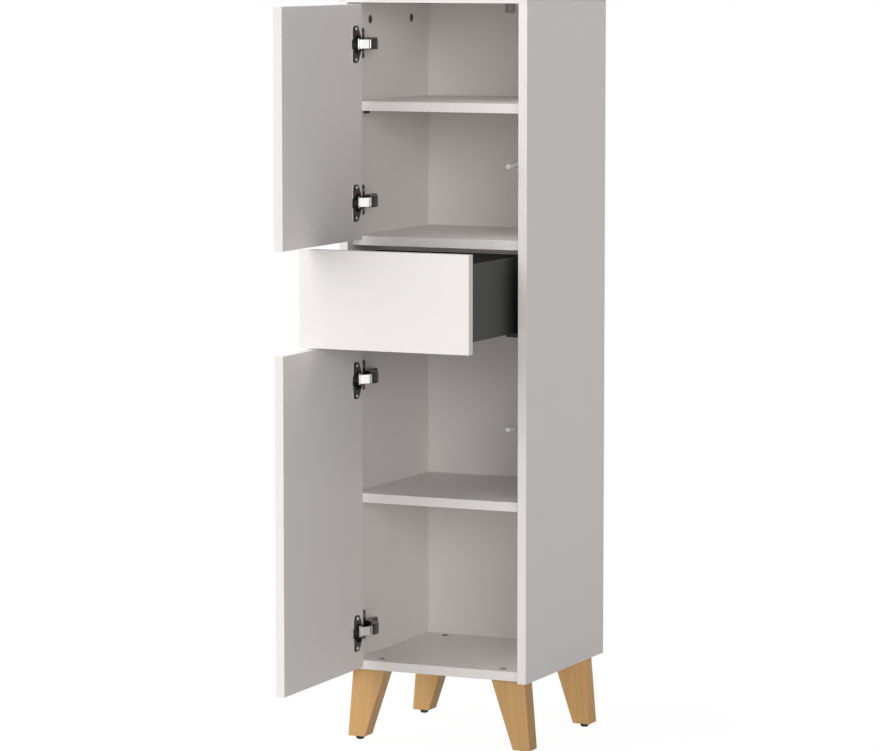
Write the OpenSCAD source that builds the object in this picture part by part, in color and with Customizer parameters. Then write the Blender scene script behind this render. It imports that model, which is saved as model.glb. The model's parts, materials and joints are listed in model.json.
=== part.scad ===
// Mid-height bathroom cabinet on four splayed legs: a tall narrow carcass with
// an upper and a lower hinged door and a drawer between them.
// The origin is on the floor under the middle of the carcass. X runs to the
// right, Y to the back and Z up. It stands as in use, doors open, drawer out.

/* [Carcass] */
// Overall width across the two side panels
cabinet_w = 350; // [320:1:420]
// Overall depth from the front edges to the rear edges of the side panels
cabinet_d = 345; // [335:1:420]
// Height of the side panels
side_h = 1151.5; // [1140:0.5:1300]
// Thickness of the boards, doors and drawer front
board_t = 16; // [15:0.5:18]
// Gap between a closed front and the boards behind it
front_rear_gap = 4; // [3:0.5:8]
// Thickness of the back panel
back_t = 3; // [3:0.5:5]
// Distance of the back panel's rear face from the rear edges
back_inset = 14; // [10:1:20]
// Depth of the grooves that hold the back panel
groove_depth = 6; // [4:0.5:7]
// Height of the divider's underside above the foot of the side panels
divider_level = 736.7; // [730:0.1:742]
// Distance of the upper shelf's underside below the top panel
upper_shelf_drop = 184.5; // [175:0.5:190]
// Height of the lower shelf's underside above the foot of the side panels
lower_shelf_level = 291.9; // [250:0.1:350]
// Distance of the shelf supports from the front and rear edges
shelf_pin_inset = 68; // [55:1:90]
// Diameter of the shelf support pins
shelf_pin_d = 5; // [4:0.5:6]

/* [Fronts] */
// Gap between a front and the side panel on either side
side_gap = 3.4; // [3:0.1:4]
// Gap between the upper door and the top panel
top_gap = 2.6; // [2:0.1:5]
// Height of the lower door's bottom edge above the foot of the side panels
bottom_reveal = 8; // [4:0.5:16]
// Gap between the lower door and the drawer front
front_gap = 2.4; // [2:0.1:4]
// Gap between the drawer front and the upper door
upper_gap = 4.8; // [2.5:0.1:6]
// How far the drawer front rises above the divider's underside
divider_cover = 7.3; // [4:0.1:9]
// Height of the drawer front
drawer_front_h = 165.2; // [160:0.1:175]

/* [Joints] */
// Angle at which the two doors stand open
door_open = 89; // [0:1:95]
// Distance that the drawer stands out
drawer_out = 193; // [0:1:225]
// How far the latch plungers stand out in front of the carcass
latch_out = 22; // [20:0.5:24]

/* [Hinges] */
// Distance of a hinge from the upper end of its door
hinge_from_top = 67.5; // [55:0.5:90]
// Distance of a hinge from the lower end of its door
hinge_from_bottom = 63.5; // [55:0.5:90]
// Outer diameter of a hinge cup
cup_d = 35; // [34:0.5:36]
// Depth of a hinge cup in the door
cup_depth = 11.5; // [11:0.1:12.5]
// Distance of the cup's centre from the door's hinged edge
cup_inset = 22; // [21.5:0.1:23]
// Distance between the two screws of a hinge cup
cup_screw_spacing = 52; // [48:1:56]
// Distance of the cup's screws from its centre, away from the hinged edge
cup_screw_offset = 5.5; // [4:0.5:7]
// Length of the flange of a hinge cup
flange_l = 63; // [62:0.5:68]
// Width of the flange of a hinge cup beside its screws
flange_w = 22; // [18:1:26]
// Thickness of the flange of a hinge cup
flange_t = 2.6; // [1:0.1:2.6]
// Distance of the arm's pivot from the left side panel
arm_pivot_side = 38; // [37.8:0.1:38.4]
// Distance of the arm's pivot behind the front edges
arm_pivot_depth = 13; // [12.6:0.1:13.2]
// Distance of the cup's pivot from the door's hinged edge
cup_pivot_inset = 8.5; // [8.4:0.1:8.8]
// Depth of the cup's pivot below the door's inner face
cup_pivot_depth = 2.5; // [2.3:0.1:3]
// Diameter of the hinge pivot pins
hinge_pin_d = 2; // [1.6:0.1:2.2]
// Angle that the link swings through while the door opens to a right angle
link_swing = 65.3; // [60:0.1:68]
// Thickness of the bent link plate
link_t = 1.6; // [1.4:0.1:1.8]
// Half of the link's width over its plate
link_half_w = 7.5; // [6:0.5:7.5]
// Distance of the mounting plate's screws behind the front edges
plate_depth = 59; // [56:1:64]
// Distance between the two screws of a mounting plate
plate_screw_spacing = 32; // [28:1:36]

/* [Drawer] */
// Length of the drawer sides
drawer_length = 270; // [250:1:285]
// Height of the drawer sides
drawer_side_h = 127; // [110:1:130]
// Thickness of the hollow steel drawer sides
drawer_side_t = 12.4; // [12:0.1:14]
// Thickness of the sheet steel in the drawer and its runners
sheet_t = 1.2; // [1:0.1:1.5]
// Height of the drawer sides above the drawer front's lower edge
drawer_side_lift = 18.2; // [17:0.1:22]
// Gap between a drawer side and the side panel
drawer_side_gap = 13.6; // [13:0.1:15]
// Thickness of the drawer's bottom board
drawer_bottom_t = 12; // [10:0.5:16]

/* [Legs] */
// Height of the wooden legs
leg_h = 120; // [90:1:160]
// Width of a leg at its top
leg_top_w = 63; // [58:1:70]
// Width of a leg at its foot
leg_foot_w = 32.5; // [28:0.5:40]
// Thickness of a leg
leg_t = 32; // [28:1:36]
// How far the outer edge leans out from top to foot
leg_splay = 10; // [4:1:12]
// Distance of a leg's top corner from the side of the carcass
leg_side_inset = 12.4; // [12:0.1:20]
// Distance of a leg from the front or the rear edge
leg_depth_inset = 24; // [20:1:28]
// Distance of the leg bolts from the side of the carcass
leg_bolt_inset = 60; // [56:1:62]
// Diameter of a levelling foot
foot_d = 15; // [14:1:20]
// Height of a levelling foot when it is screwed fully in
foot_h = 7; // [5:0.5:10]
// Diameter of a levelling foot's threaded stem
stem_d = 6; // [5:1:8]

/* [Fittings] */
// Diameter of the cam locks
cam_d = 15; // [14:0.5:16]
// Distance of a cam's centre from the end of its board
cam_setback = 30; // [26:1:34]
// Distance of the front cams from the front edges
cam_from_front = 91; // [80:1:110]
// Distance of the rear cams from the rear edges
cam_from_rear = 87; // [80:1:110]
// Diameter of the wooden dowels
dowel_d = 8; // [6:1:8]
// Length of the wooden dowels
dowel_l = 30; // [24:1:34]
// Height of the upper latch above the middle between the divider and the upper shelf
upper_latch_rise = 19.65; // [0:0.05:30]
// Height of the lower latch above the lower end of the lower door
lower_latch_rise = 429; // [380:1:460]
// Distance of a latch plunger from the right side panel
latch_side = 9; // [8:0.5:11]
// Diameter of a latch plunger's rod
latch_rod_d = 7; // [6:0.5:8]

/* [Hidden] */
$fn = 48;

// Small clearances that several pieces share
fit = 0.1;
run_fit = 0.05;
slide_gap = 0.4;
shelf_play = 0.5;
groove_play = 0.2;
pin_play = 0.01;
panel_tongue = groove_depth - 0.5;
// Cutters run this far past the faces they open
eps = 1;
// Cutters of this length pass right through a hinge piece
through = 60;

// Derived places. z values count from the floor.
inner_w = cabinet_w - 2 * board_t;
front_y = -cabinet_d / 2;
rear_y = cabinet_d / 2;
base_z = leg_h + foot_h;
top_z = base_z + side_h;
front_setback = board_t + front_rear_gap;
back_face_y = rear_y - back_inset - back_t;
panel_y0 = front_y + front_setback;
divider_z = base_z + divider_level;
upper_shelf_z = top_z - upper_shelf_drop;
lower_shelf_z = base_z + lower_shelf_level;
joint_ys = [front_y + cam_from_front, rear_y - cam_from_rear];
dowel_step = 32;
dowel_ys = [joint_ys[0] + dowel_step, joint_ys[1] - dowel_step];

front_w = inner_w - 2 * side_gap;
lower_door_z = base_z + bottom_reveal;
drawer_front_z = divider_z + divider_cover - drawer_front_h;
lower_door_h = drawer_front_z - front_gap - lower_door_z;
upper_door_z = drawer_front_z + drawer_front_h + upper_gap;
upper_door_h = top_z - top_gap - upper_door_z;
upper_hinge_zs = [upper_door_z + hinge_from_bottom, upper_door_z + upper_door_h - hinge_from_top];
lower_hinge_zs = [lower_door_z + hinge_from_bottom, lower_door_z + lower_door_h - hinge_from_top];
all_hinge_zs = concat(upper_hinge_zs, lower_hinge_zs);

// Hinge geometry, seen from above with the door closed
wall_x = -inner_w / 2;
door_edge_x = -front_w / 2;
door_face_y = front_y + board_t;
arm_pivot = [wall_x + arm_pivot_side, front_y + arm_pivot_depth];
cup_pivot = [door_edge_x + cup_pivot_inset, door_face_y - cup_pivot_depth];
cup_x = door_edge_x + cup_inset;
cup_wall = 1;
cup_rim = 0.8;
cup_clear = 0.3;
pin_r = hinge_pin_d / 2;
eye_wall = 1.3;
eye_r = pin_r + eye_wall;
swing_now = link_swing * door_open / 90;

// Drawer geometry, with the drawer closed
drawer_side_z = drawer_front_z + drawer_side_lift;
drawer_outer_x = inner_w / 2 - drawer_side_gap;
drawer_inner_x = drawer_outer_x - drawer_side_t;
drawer_y0 = front_y + board_t;
rail_setback = 2;
rail_y0 = drawer_y0 + rail_setback;
drawer_floor_z = drawer_side_z + sheet_t;

// Runner sections nest inside the hollow drawer side with slide_gap between them
outer_half = drawer_side_t / 2 - sheet_t;
rail_x = drawer_outer_x - drawer_side_t / 2;
middle_half = outer_half - sheet_t - slide_gap;
tongue_half = middle_half - sheet_t - slide_gap;
rail_rise = 18;
rail_top_z = drawer_side_z + rail_rise;

leg_outer_x = cabinet_w / 2 - leg_side_inset;
leg_y = cabinet_d / 2 - leg_depth_inset - leg_t / 2;
foot_x = leg_outer_x + leg_splay - leg_foot_w / 2;
stem_l = 22;

latch_x = inner_w / 2 - latch_side;
upper_latch_z = (divider_z + board_t + upper_shelf_z) / 2 + upper_latch_rise;
lower_latch_z = lower_door_z + lower_latch_rise;
latch_body_d = 13;
latch_body_l = 62;
latch_tip_d = 10;
latch_tip_l = 5;
latch_rest_gap = 1.5;
latch_y0 = door_face_y + latch_tip_l + latch_rest_gap;

melamine = [0.90, 0.89, 0.87];
oak = [0.80, 0.62, 0.40];
gunmetal = [0.22, 0.22, 0.21];
nickel = [0.85, 0.85, 0.84];
anthracite = [0.25, 0.25, 0.24];

// Helpers

module both_sides() {
  children();
  mirror([1, 0, 0]) children();
}

// A box between two corners
module block(a, b) {
  translate(a) cube(b - a);
}

// A cylinder that runs along Y from a point towards the back
module rod_y(at, r, l) {
  translate(at) rotate([-90, 0, 0]) cylinder(r = r, h = l);
}

// A cylinder that runs along X from a point to the right
module rod_x(at, r, l) {
  translate(at) rotate([0, 90, 0]) cylinder(r = r, h = l);
}

// Children stand at every joint on the right half of the carcass, in a frame
// whose Z points out of the end of one board into the face of the other
module at_right_joints(ys) {
  for (y = ys) {
    translate([cabinet_w / 2 - board_t / 2, y, top_z]) children();
    for (z = [base_z, divider_z])
      translate([inner_w / 2, y, z + board_t / 2]) rotate([0, 90, 0]) rotate([0, 0, 180]) children();
  }
}

// A screw that points along -Z with its head on the plane z = 0. The head is
// given as diameter and height.
module screw(head, shank_d, shank_l) {
  cylinder(d = head[0], h = head[1]);
  translate([0, 0, -shank_l]) cylinder(d = shank_d, h = shank_l);
}

// Joints between the boards

cam_depth = 12.5;
bolt_d = 6;
bolt_thread_l = 11;
// A dowel reaches less deep into the face of a board than into an end
face_dowel_l = 11;
dowel_shift = dowel_l / 2 - face_dowel_l;
leg_dowel_step = 30;
leg_bolt_x = cabinet_w / 2 - leg_bolt_inset;
leg_dowel_x = leg_bolt_x + leg_dowel_step;

module cam_bore() {
  translate([-board_t / 2 - eps, 0, -cam_setback]) rotate([0, 90, 0])
    cylinder(d = cam_d + 2 * fit, h = cam_depth + fit + eps);
}

module bolt_bore() {
  translate([0, 0, -cam_setback]) cylinder(d = bolt_d + 2 * fit, h = cam_setback + bolt_thread_l + fit);
}

module dowel_bore() {
  translate([0, 0, -dowel_l / 2 - fit]) cylinder(d = dowel_d + 2 * fit, h = dowel_l + 2 * fit);
}

module dowel_place() {
  translate([0, 0, -dowel_shift]) children();
}

module joint_bores() {
  both_sides() {
    at_right_joints(joint_ys) {
      cam_bore();
      bolt_bore();
    }
    at_right_joints(dowel_ys) dowel_place() dowel_bore();
  }
}

module cam() {
  slot_w = 1.6;
  slot_half = cam_d / 4;
  slot_depth = 2;
  difference() {
    translate([-board_t / 2, 0, -cam_setback]) rotate([0, 90, 0]) cylinder(d = cam_d, h = cam_depth);
    translate([0, 0, -cam_setback]) cylinder(d = bolt_d + 2 * fit, h = cam_d);
    translate([-board_t / 2 - eps, 0, -cam_setback]) for (a = [0, 90])
      rotate([a, 0, 0]) block([0, -slot_w / 2, -slot_half], [slot_depth + eps, slot_w / 2, slot_half]);
  }
}

module cam_bolt() {
  translate([0, 0, fit - cam_setback]) cylinder(d = bolt_d, h = cam_setback - fit + bolt_thread_l);
}

module cam_locks() {
  color(gunmetal) both_sides() at_right_joints(joint_ys) cam();
}

module cam_bolts() {
  color(nickel) both_sides() at_right_joints(joint_ys) cam_bolt();
}

module wooden_dowels() {
  color(oak) {
    both_sides() at_right_joints(dowel_ys) dowel_place()
      translate([0, 0, -dowel_l / 2]) cylinder(d = dowel_d, h = dowel_l);
    at_legs() translate([leg_dowel_x, 0, base_z + face_dowel_l - dowel_l])
      cylinder(d = dowel_d, h = dowel_l);
  }
}

// Carcass boards

module side_panel() {
  difference() {
    block([inner_w / 2, front_y, base_z], [cabinet_w / 2, rear_y, top_z]);
    back_groove();
    joint_bores();
    for (z = [upper_shelf_z, lower_shelf_z]) at_shelf_supports(z)
      rod_x([inner_w / 2 - eps, 0, 0], shelf_pin_d / 2 + fit, support_pin_l + fit + eps);
    at_rail_screws() rod_x([inner_w / 2 - eps, 0, 0], rail_screw_d / 2 + fit, rail_screw_l + eps);
  }
}

module back_groove() {
  both_sides() block([inner_w / 2 - eps, back_face_y - groove_play, base_z - eps],
    [inner_w / 2 + groove_depth, back_face_y + back_t + groove_play, top_z + eps]);
}

module left_side_panel() {
  color(melamine) difference() {
    mirror([1, 0, 0]) side_panel();
    at_hinges(all_hinge_zs) plate_screw_holes();
  }
}

module right_side_panel() {
  color(melamine) difference() {
    side_panel();
    at_latches() latch_screw_holes();
  }
}

module top_panel() {
  tongue_x = inner_w / 2 + groove_depth;
  color(melamine) difference() {
    block([-cabinet_w / 2, front_y, top_z], [cabinet_w / 2, rear_y, top_z + board_t]);
    block([-tongue_x, back_face_y - groove_play, top_z - eps],
      [tongue_x, back_face_y + back_t + groove_play, top_z + groove_depth]);
    joint_bores();
    bracket_screw_bore();
  }
}

// A board between the side panels, in front of the back panel
module inner_board(z) {
  block([-inner_w / 2, panel_y0, z], [inner_w / 2, back_face_y, z + board_t]);
}

module bottom_panel() {
  color(melamine) difference() {
    inner_board(base_z);
    joint_bores();
    at_legs() {
      translate([leg_bolt_x, 0, base_z - eps])
        cylinder(d = leg_bolt_d + leg_bolt_play, h = board_t + 2 * eps);
      translate([leg_dowel_x, 0, base_z - eps])
        cylinder(d = dowel_d + 2 * fit, h = face_dowel_l + fit + eps);
    }
    back_screw_bores(base_z);
  }
}

module divider_panel() {
  color(melamine) difference() {
    inner_board(divider_z);
    joint_bores();
    back_screw_bores(divider_z);
  }
}

module back_panel() {
  color(melamine) difference() {
    block([-inner_w / 2 - panel_tongue, back_face_y, base_z],
      [inner_w / 2 + panel_tongue, back_face_y + back_t, top_z + panel_tongue]);
    for (z = [base_z, divider_z]) back_screw_bores(z);
    rod_y([0, back_face_y - eps, slot_z], wall_screw_d / 2 + wall_screw_play, back_t + 2 * eps);
  }
}

// Small screws hold the back panel on the rear edges of the inner boards
back_screw_d = 3;
back_screw_l = 16;
back_screw_head = [7, 1.6];
back_screw_xs = [-inner_w / 3, 0, inner_w / 3];

module back_screw_bores(z) {
  for (x = back_screw_xs)
    rod_y([x, back_face_y + back_t - back_screw_l - fit, z + board_t / 2],
      back_screw_d / 2 + fit, back_screw_l + fit + eps);
}

module back_panel_screws() {
  color(nickel) for (z = [base_z, divider_z], x = back_screw_xs)
    translate([x, back_face_y + back_t, z + board_t / 2]) rotate([-90, 0, 0])
      screw(back_screw_head, back_screw_d, back_screw_l);
}

// Shelves and their supports

support_pin_l = 8;
support_h = 6.5;
support_w = 9;
support_reach = 8;

module shelf(z) {
  block([-inner_w / 2 + shelf_play, panel_y0, z],
    [inner_w / 2 - shelf_play, back_face_y - 2 * shelf_play, z + board_t]);
}

module at_shelf_supports(z) {
  for (y = [front_y + shelf_pin_inset, rear_y - shelf_pin_inset])
    translate([0, y, z - support_h / 2]) children();
}

module shelf_supports(z) {
  both_sides() at_shelf_supports(z) {
    rod_x([inner_w / 2, 0, 0], shelf_pin_d / 2, support_pin_l);
    block([inner_w / 2 - support_reach, -support_w / 2, -support_h / 2],
      [inner_w / 2, support_w / 2, support_h / 2]);
  }
}

module upper_shelf() { color(melamine) shelf(upper_shelf_z); }
module lower_shelf() { color(melamine) shelf(lower_shelf_z); }
module upper_shelf_supports() { color(gunmetal) shelf_supports(upper_shelf_z); }
module lower_shelf_supports() { color(gunmetal) shelf_supports(lower_shelf_z); }

// Legs, their bolts and the levelling feet

leg_bolt_d = 6;
leg_bolt_l = 40;
leg_bolt_head = [11, 2];
leg_bolt_play = 0.4;
leg_nut_d = 10;
leg_nut_l = 22;
socket_d = 10;
socket_end_t = 1;
socket_l = stem_l + 2 * socket_end_t;
foot_edge = 2.5;

// Children are drawn for the right legs, at the front and at the rear
module at_right_legs() {
  for (y = [-leg_y, leg_y]) translate([0, y, 0]) children();
}

module at_legs() {
  both_sides() at_right_legs() children();
}

module leg() {
  difference() {
    rotate([90, 0, 0]) linear_extrude(leg_t, center = true) polygon([
      [leg_outer_x - leg_top_w, base_z],
      [leg_outer_x, base_z],
      [leg_outer_x + leg_splay, foot_h],
      [leg_outer_x + leg_splay - leg_foot_w, foot_h]
    ]);
    translate([leg_bolt_x, 0, base_z - leg_nut_l]) cylinder(d = leg_nut_d + 2 * fit, h = leg_nut_l + eps);
    translate([leg_bolt_x, 0, base_z + board_t - leg_bolt_l - fit])
      cylinder(d = leg_bolt_d + leg_bolt_play, h = leg_bolt_l);
    translate([leg_dowel_x, 0, base_z + face_dowel_l - dowel_l - fit])
      cylinder(d = dowel_d + 2 * fit, h = dowel_l);
    translate([foot_x, 0, foot_h - eps]) cylinder(d = socket_d + 2 * fit, h = socket_l + eps);
  }
}

module front_left_leg() { color(oak) translate([0, -leg_y, 0]) mirror([1, 0, 0]) leg(); }
module front_right_leg() { color(oak) translate([0, -leg_y, 0]) leg(); }
module rear_left_leg() { color(oak) translate([0, leg_y, 0]) mirror([1, 0, 0]) leg(); }
module rear_right_leg() { color(oak) translate([0, leg_y, 0]) leg(); }

module leg_bolts() {
  key_d = 4;
  key_depth = 3;
  color(gunmetal) at_legs() translate([leg_bolt_x, 0, base_z + board_t]) difference() {
    screw(leg_bolt_head, leg_bolt_d, leg_bolt_l);
    translate([0, 0, leg_bolt_head[1] - key_depth]) cylinder(d = key_d, h = key_depth + eps, $fn = 6);
  }
}

module leg_nuts() {
  color(nickel) at_legs() translate([leg_bolt_x, 0, base_z - leg_nut_l]) difference() {
    cylinder(d = leg_nut_d, h = leg_nut_l);
    translate([0, 0, -eps]) cylinder(d = leg_bolt_d + 2 * fit, h = leg_nut_l + 2 * eps);
  }
}

module foot_sockets() {
  color(nickel) at_legs() translate([foot_x, 0, foot_h]) difference() {
    cylinder(d = socket_d, h = socket_l);
    translate([0, 0, -eps]) cylinder(d = stem_d + 2 * run_fit, h = socket_l - socket_end_t + eps);
  }
}

module foot() {
  translate([foot_x, 0, 0]) {
    cylinder(d1 = foot_d - 2 * foot_edge, d2 = foot_d, h = foot_edge);
    translate([0, 0, foot_edge]) cylinder(d = foot_d, h = foot_h - foot_edge);
    cylinder(d = stem_d, h = foot_h + stem_l);
  }
}

module front_left_foot() { color(gunmetal) translate([0, -leg_y, 0]) mirror([1, 0, 0]) foot(); }
module front_right_foot() { color(gunmetal) translate([0, -leg_y, 0]) foot(); }
module rear_left_foot() { color(gunmetal) translate([0, leg_y, 0]) mirror([1, 0, 0]) foot(); }
module rear_right_foot() { color(gunmetal) translate([0, leg_y, 0]) foot(); }

// Wall bracket under the top panel, against the tipping of the cabinet

bracket_w = 18;
bracket_t = 2;
bracket_drop = 22;
bracket_run = 28;
bracket_screw_d = 3.5;
bracket_screw_l = 14;
bracket_screw_head = [7, 1.8];
bracket_screw_setback = 18;
bracket_screw_y = back_face_y - bracket_screw_setback;
wall_screw_d = 5;
wall_screw_play = 1;
slot_l = 10;
slot_half = (slot_l - wall_screw_d) / 2;
slot_rise = 9;
slot_z = top_z - bracket_drop + slot_rise;

module wall_bracket() {
  color(gunmetal) difference() {
    union() {
      block([-bracket_w / 2, back_face_y - bracket_t, top_z - bracket_drop],
        [bracket_w / 2, back_face_y, top_z]);
      block([-bracket_w / 2, back_face_y - bracket_run, top_z - bracket_t],
        [bracket_w / 2, back_face_y, top_z]);
    }
    for (dz = [-slot_half, slot_half])
      rod_y([0, back_face_y - bracket_t - eps, slot_z + dz], wall_screw_d / 2, bracket_t + 2 * eps);
    block([-wall_screw_d / 2, back_face_y - bracket_t - eps, slot_z - slot_half],
      [wall_screw_d / 2, back_face_y + eps, slot_z + slot_half]);
    bracket_screw_bore();
  }
}

module bracket_screw_bore() {
  translate([0, bracket_screw_y, top_z - bracket_t - eps])
    cylinder(d = bracket_screw_d + 2 * fit, h = bracket_screw_l + eps + fit);
}

module wall_bracket_screw() {
  color(nickel) translate([0, bracket_screw_y, top_z - bracket_t]) mirror([0, 0, 1])
    screw(bracket_screw_head, bracket_screw_d, bracket_screw_l);
}

// Hinges: a link on the arm's pin carries the cup's pin, and the door with it

module at_hinges(zs) {
  for (z = zs) translate([0, 0, z]) children();
}

plate_screw_d = 3.5;
plate_screw_l = 12;
plate_screw_head = [7, 1.5];
plate_wing_t = 2;
plate_body_t = 6;
plate_nose = 15;
plate_wing_reach = 10;
plate_tail = 27;

module at_plate_screws() {
  for (dz = [-1, 1]) translate([wall_x, front_y + plate_depth, dz * plate_screw_spacing / 2]) children();
}

module plate_screw_holes() {
  at_plate_screws() rod_x([-plate_screw_l - fit, 0, 0], plate_screw_d / 2 + fit, plate_screw_l + fit + eps);
}

module mounting_plate() {
  wing_w = 10;
  wing_half = plate_screw_spacing / 2 + plate_wing_reach;
  body_half_w = 6.5;
  plate_front = front_y + plate_depth - plate_nose;
  plate_rear = front_y + plate_depth + plate_tail;
  difference() {
    union() {
      block([wall_x, front_y + plate_depth - wing_w / 2, -wing_half + wing_w / 2],
        [wall_x + plate_wing_t, front_y + plate_depth + wing_w / 2, wing_half - wing_w / 2]);
      for (dz = [-1, 1])
        rod_x([wall_x, front_y + plate_depth, dz * (wing_half - wing_w / 2)], wing_w / 2, plate_wing_t);
      block([wall_x, plate_front, -body_half_w], [wall_x + plate_body_t, plate_rear, body_half_w]);
    }
    at_plate_screws() rod_x([-eps, 0, 0], plate_screw_d / 2 + fit, plate_wing_t + 2 * eps);
    arm_screw_bore();
  }
}

module hinge_mounting_plates() {
  color(gunmetal) at_hinges(all_hinge_zs) mounting_plate();
}

module hinge_plate_screws() {
  color(nickel) at_hinges(all_hinge_zs) {
    at_plate_screws() translate([plate_wing_t, 0, 0]) rotate([0, 90, 0])
      screw(plate_screw_head, plate_screw_d, plate_screw_l + plate_wing_t);
    translate([wall_x + arm_back_u, front_y + arm_screw_depth, 0]) rotate([0, 90, 0])
      screw(arm_screw_head, arm_screw_d, arm_screw_l);
  }
}

// The arm is a pressed channel: u counts from the side panel, v from the front
arm_half_w = 9.5;
arm_web_t = 1.5;
arm_nose_t = 3;
arm_back_rise = 7;
arm_top_rise = 2.4;
arm_front_gap = 3.2;
arm_back_u = plate_body_t + arm_back_rise;
arm_top_u = arm_pivot_side + arm_top_rise;
arm_wide_v = board_t + arm_front_gap;
arm_knee_v = 42;
arm_step_v = 58;
arm_tail = 32;
arm_end_v = arm_step_v + arm_tail;
arm_bend = 6;
arm_knee_dip = 4;
arm_step_lift = 3;
arm_cheek_lap = 10;
arm_cheek_depth = 8;
arm_cheek_nose = 5;
arm_plate_gap = 0.2;
arm_screw_depth = 74;
arm_screw_d = 4;
arm_screw_l = 9;
arm_screw_head = [8, 1.8];
tongue_half_w = 3;

module arm_screw_bore() {
  rod_x([wall_x + plate_body_t / 2, front_y + arm_screw_depth, 0], arm_screw_d / 2 + fit, arm_back_u);
}

// The arm's web, seen from above, at a distance t inside its outer face
function web_line(t) = [
  [arm_top_u - t, arm_wide_v],
  [arm_top_u - t, arm_knee_v - arm_bend],
  [arm_top_u - arm_knee_dip - t, arm_knee_v],
  [arm_back_u + arm_step_lift - t, arm_step_v],
  [arm_back_u - t, arm_step_v + arm_bend]
];

module arm_plan() {
  translate([wall_x, front_y]) polygon(concat(web_line(0), [
    [arm_back_u, arm_end_v],
    [plate_body_t + arm_plate_gap, arm_end_v],
    [plate_body_t + arm_plate_gap, arm_knee_v + arm_cheek_lap],
    [arm_pivot_side - arm_cheek_depth, arm_knee_v - arm_cheek_depth],
    [arm_pivot_side - arm_cheek_nose, arm_wide_v]
  ]));
}

// The open inside of the channel, under its web
module arm_channel() {
  translate([wall_x, front_y]) polygon(concat(web_line(arm_web_t), [
    [arm_back_u - arm_web_t, arm_end_v + eps],
    [0, arm_end_v + eps],
    [0, arm_wide_v]
  ]));
}

module hinge_arm() {
  difference() {
    union() {
      linear_extrude(2 * arm_half_w, center = true) arm_plan();
      linear_extrude(2 * tongue_half_w, center = true) translate(arm_pivot) {
        circle(r = eye_r);
        translate([-eye_r, 0]) square([2 * eye_r, arm_wide_v - arm_pivot_depth + eps]);
      }
    }
    intersection() {
      block([wall_x + plate_body_t - eps, front_y + arm_wide_v + arm_nose_t, arm_web_t - arm_half_w],
        [wall_x + arm_top_u, front_y + arm_end_v + 2 * eps, arm_half_w - arm_web_t]);
      linear_extrude(2 * arm_half_w, center = true) arm_channel();
    }
    translate(arm_pivot) cylinder(r = pin_r, h = through, center = true);
    arm_screw_bore();
  }
}

module hinge_arms() {
  color(gunmetal) at_hinges(all_hinge_zs) hinge_arm();
}

pin_setback = 0.8;
arm_pin_half = link_half_w - pin_setback;

module hinge_arm_pins() {
  color(nickel) at_hinges(all_hinge_zs) translate(arm_pivot)
    cylinder(r = pin_r, h = 2 * arm_pin_half, center = true);
}

// The link, drawn for the closed door. Its knees reach down into the cup.
// Each knee: its share of the way to the cup's pin, and how deep it lies below
link_knees = [[0.3, 5], [0.89, 3]];
wrap_t = 1.2;
wrap_start_angle = 160;
wrap_end_angle = 290;
wrap_turns = 3;
link_eye_half = 6;
link_span = cup_pivot - arm_pivot;
knee_points = [for (k = link_knees) arm_pivot + k[0] * link_span - [0, k[1]]];
link_points = concat([arm_pivot], knee_points, [cup_pivot]);

module bar(a, b, w) {
  d = b - a;
  translate(a) rotate(atan2(d[1], d[0])) translate([0, -w / 2]) square([norm(d), w]);
}

module link_plate() {
  for (k = [1:len(link_points) - 1]) bar(link_points[k - 1], link_points[k], link_t);
  for (p = knee_points) translate(p) circle(r = link_t / 2);
}

// The front of the link wraps round the tongue of the arm
module link_wrap() {
  inner_r = eye_r + slide_gap;
  outer_r = inner_r + wrap_t;
  translate(arm_pivot) intersection() {
    difference() {
      circle(r = outer_r);
      circle(r = inner_r);
    }
    polygon(concat([[0, 0]], [
      for (k = [0:wrap_turns])
        let (a = wrap_start_angle + (wrap_end_angle - wrap_start_angle) * k / wrap_turns)
          3 * outer_r * [cos(a), sin(a)]
    ]));
  }
}

module hinge_link() {
  difference() {
    intersection() {
      union() {
        difference() {
          linear_extrude(2 * link_half_w, center = true) link_plate();
          for (p = [arm_pivot, cup_pivot]) translate(p) cylinder(r = eye_r, h = through, center = true);
        }
        for (p = [arm_pivot, cup_pivot])
          translate(p) cylinder(r = eye_r, h = 2 * link_eye_half, center = true);
        linear_extrude(2 * link_half_w, center = true) link_wrap();
      }
      rod_y([cup_x, front_y, 0], cup_d / 2 - cup_wall - cup_clear, through);
    }
    for (p = [arm_pivot, cup_pivot]) translate(p) cylinder(r = pin_r + run_fit, h = through, center = true);
    translate(arm_pivot) cylinder(r = eye_r + slide_gap, h = 2 * (tongue_half_w + slide_gap), center = true);
  }
}

// Turns a closed link into its open place
module swing_link() {
  translate(arm_pivot) rotate(swing_now) translate(-arm_pivot) children();
}

// Turns a closed door into its open place: with the link, then about the cup's pin
module swing_door() {
  swing_link() translate(cup_pivot) rotate(-swing_now - door_open) translate(-cup_pivot) children();
}

module upper_hinge_links() { color(nickel) swing_link() at_hinges(upper_hinge_zs) hinge_link(); }
module lower_hinge_links() { color(nickel) swing_link() at_hinges(lower_hinge_zs) hinge_link(); }

// Doors with their cups, all drawn closed and then swung open

cup_screw_d = 3.5;
cup_screw_l = 11;
cup_screw_head = [7, 1.6];
cup_pin_reach = 1.4;
mouth_half = link_half_w + 2 * slide_gap;
cup_pin_half = mouth_half + cup_pin_reach;
mouth_clear = 2.6;
mouth_depth = cup_pivot_depth + mouth_clear;

module at_cup_screws() {
  for (dz = [-1, 1])
    translate([cup_x + cup_screw_offset, door_face_y + flange_t, dz * cup_screw_spacing / 2])
      rotate([-90, 0, 0]) children();
}

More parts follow.
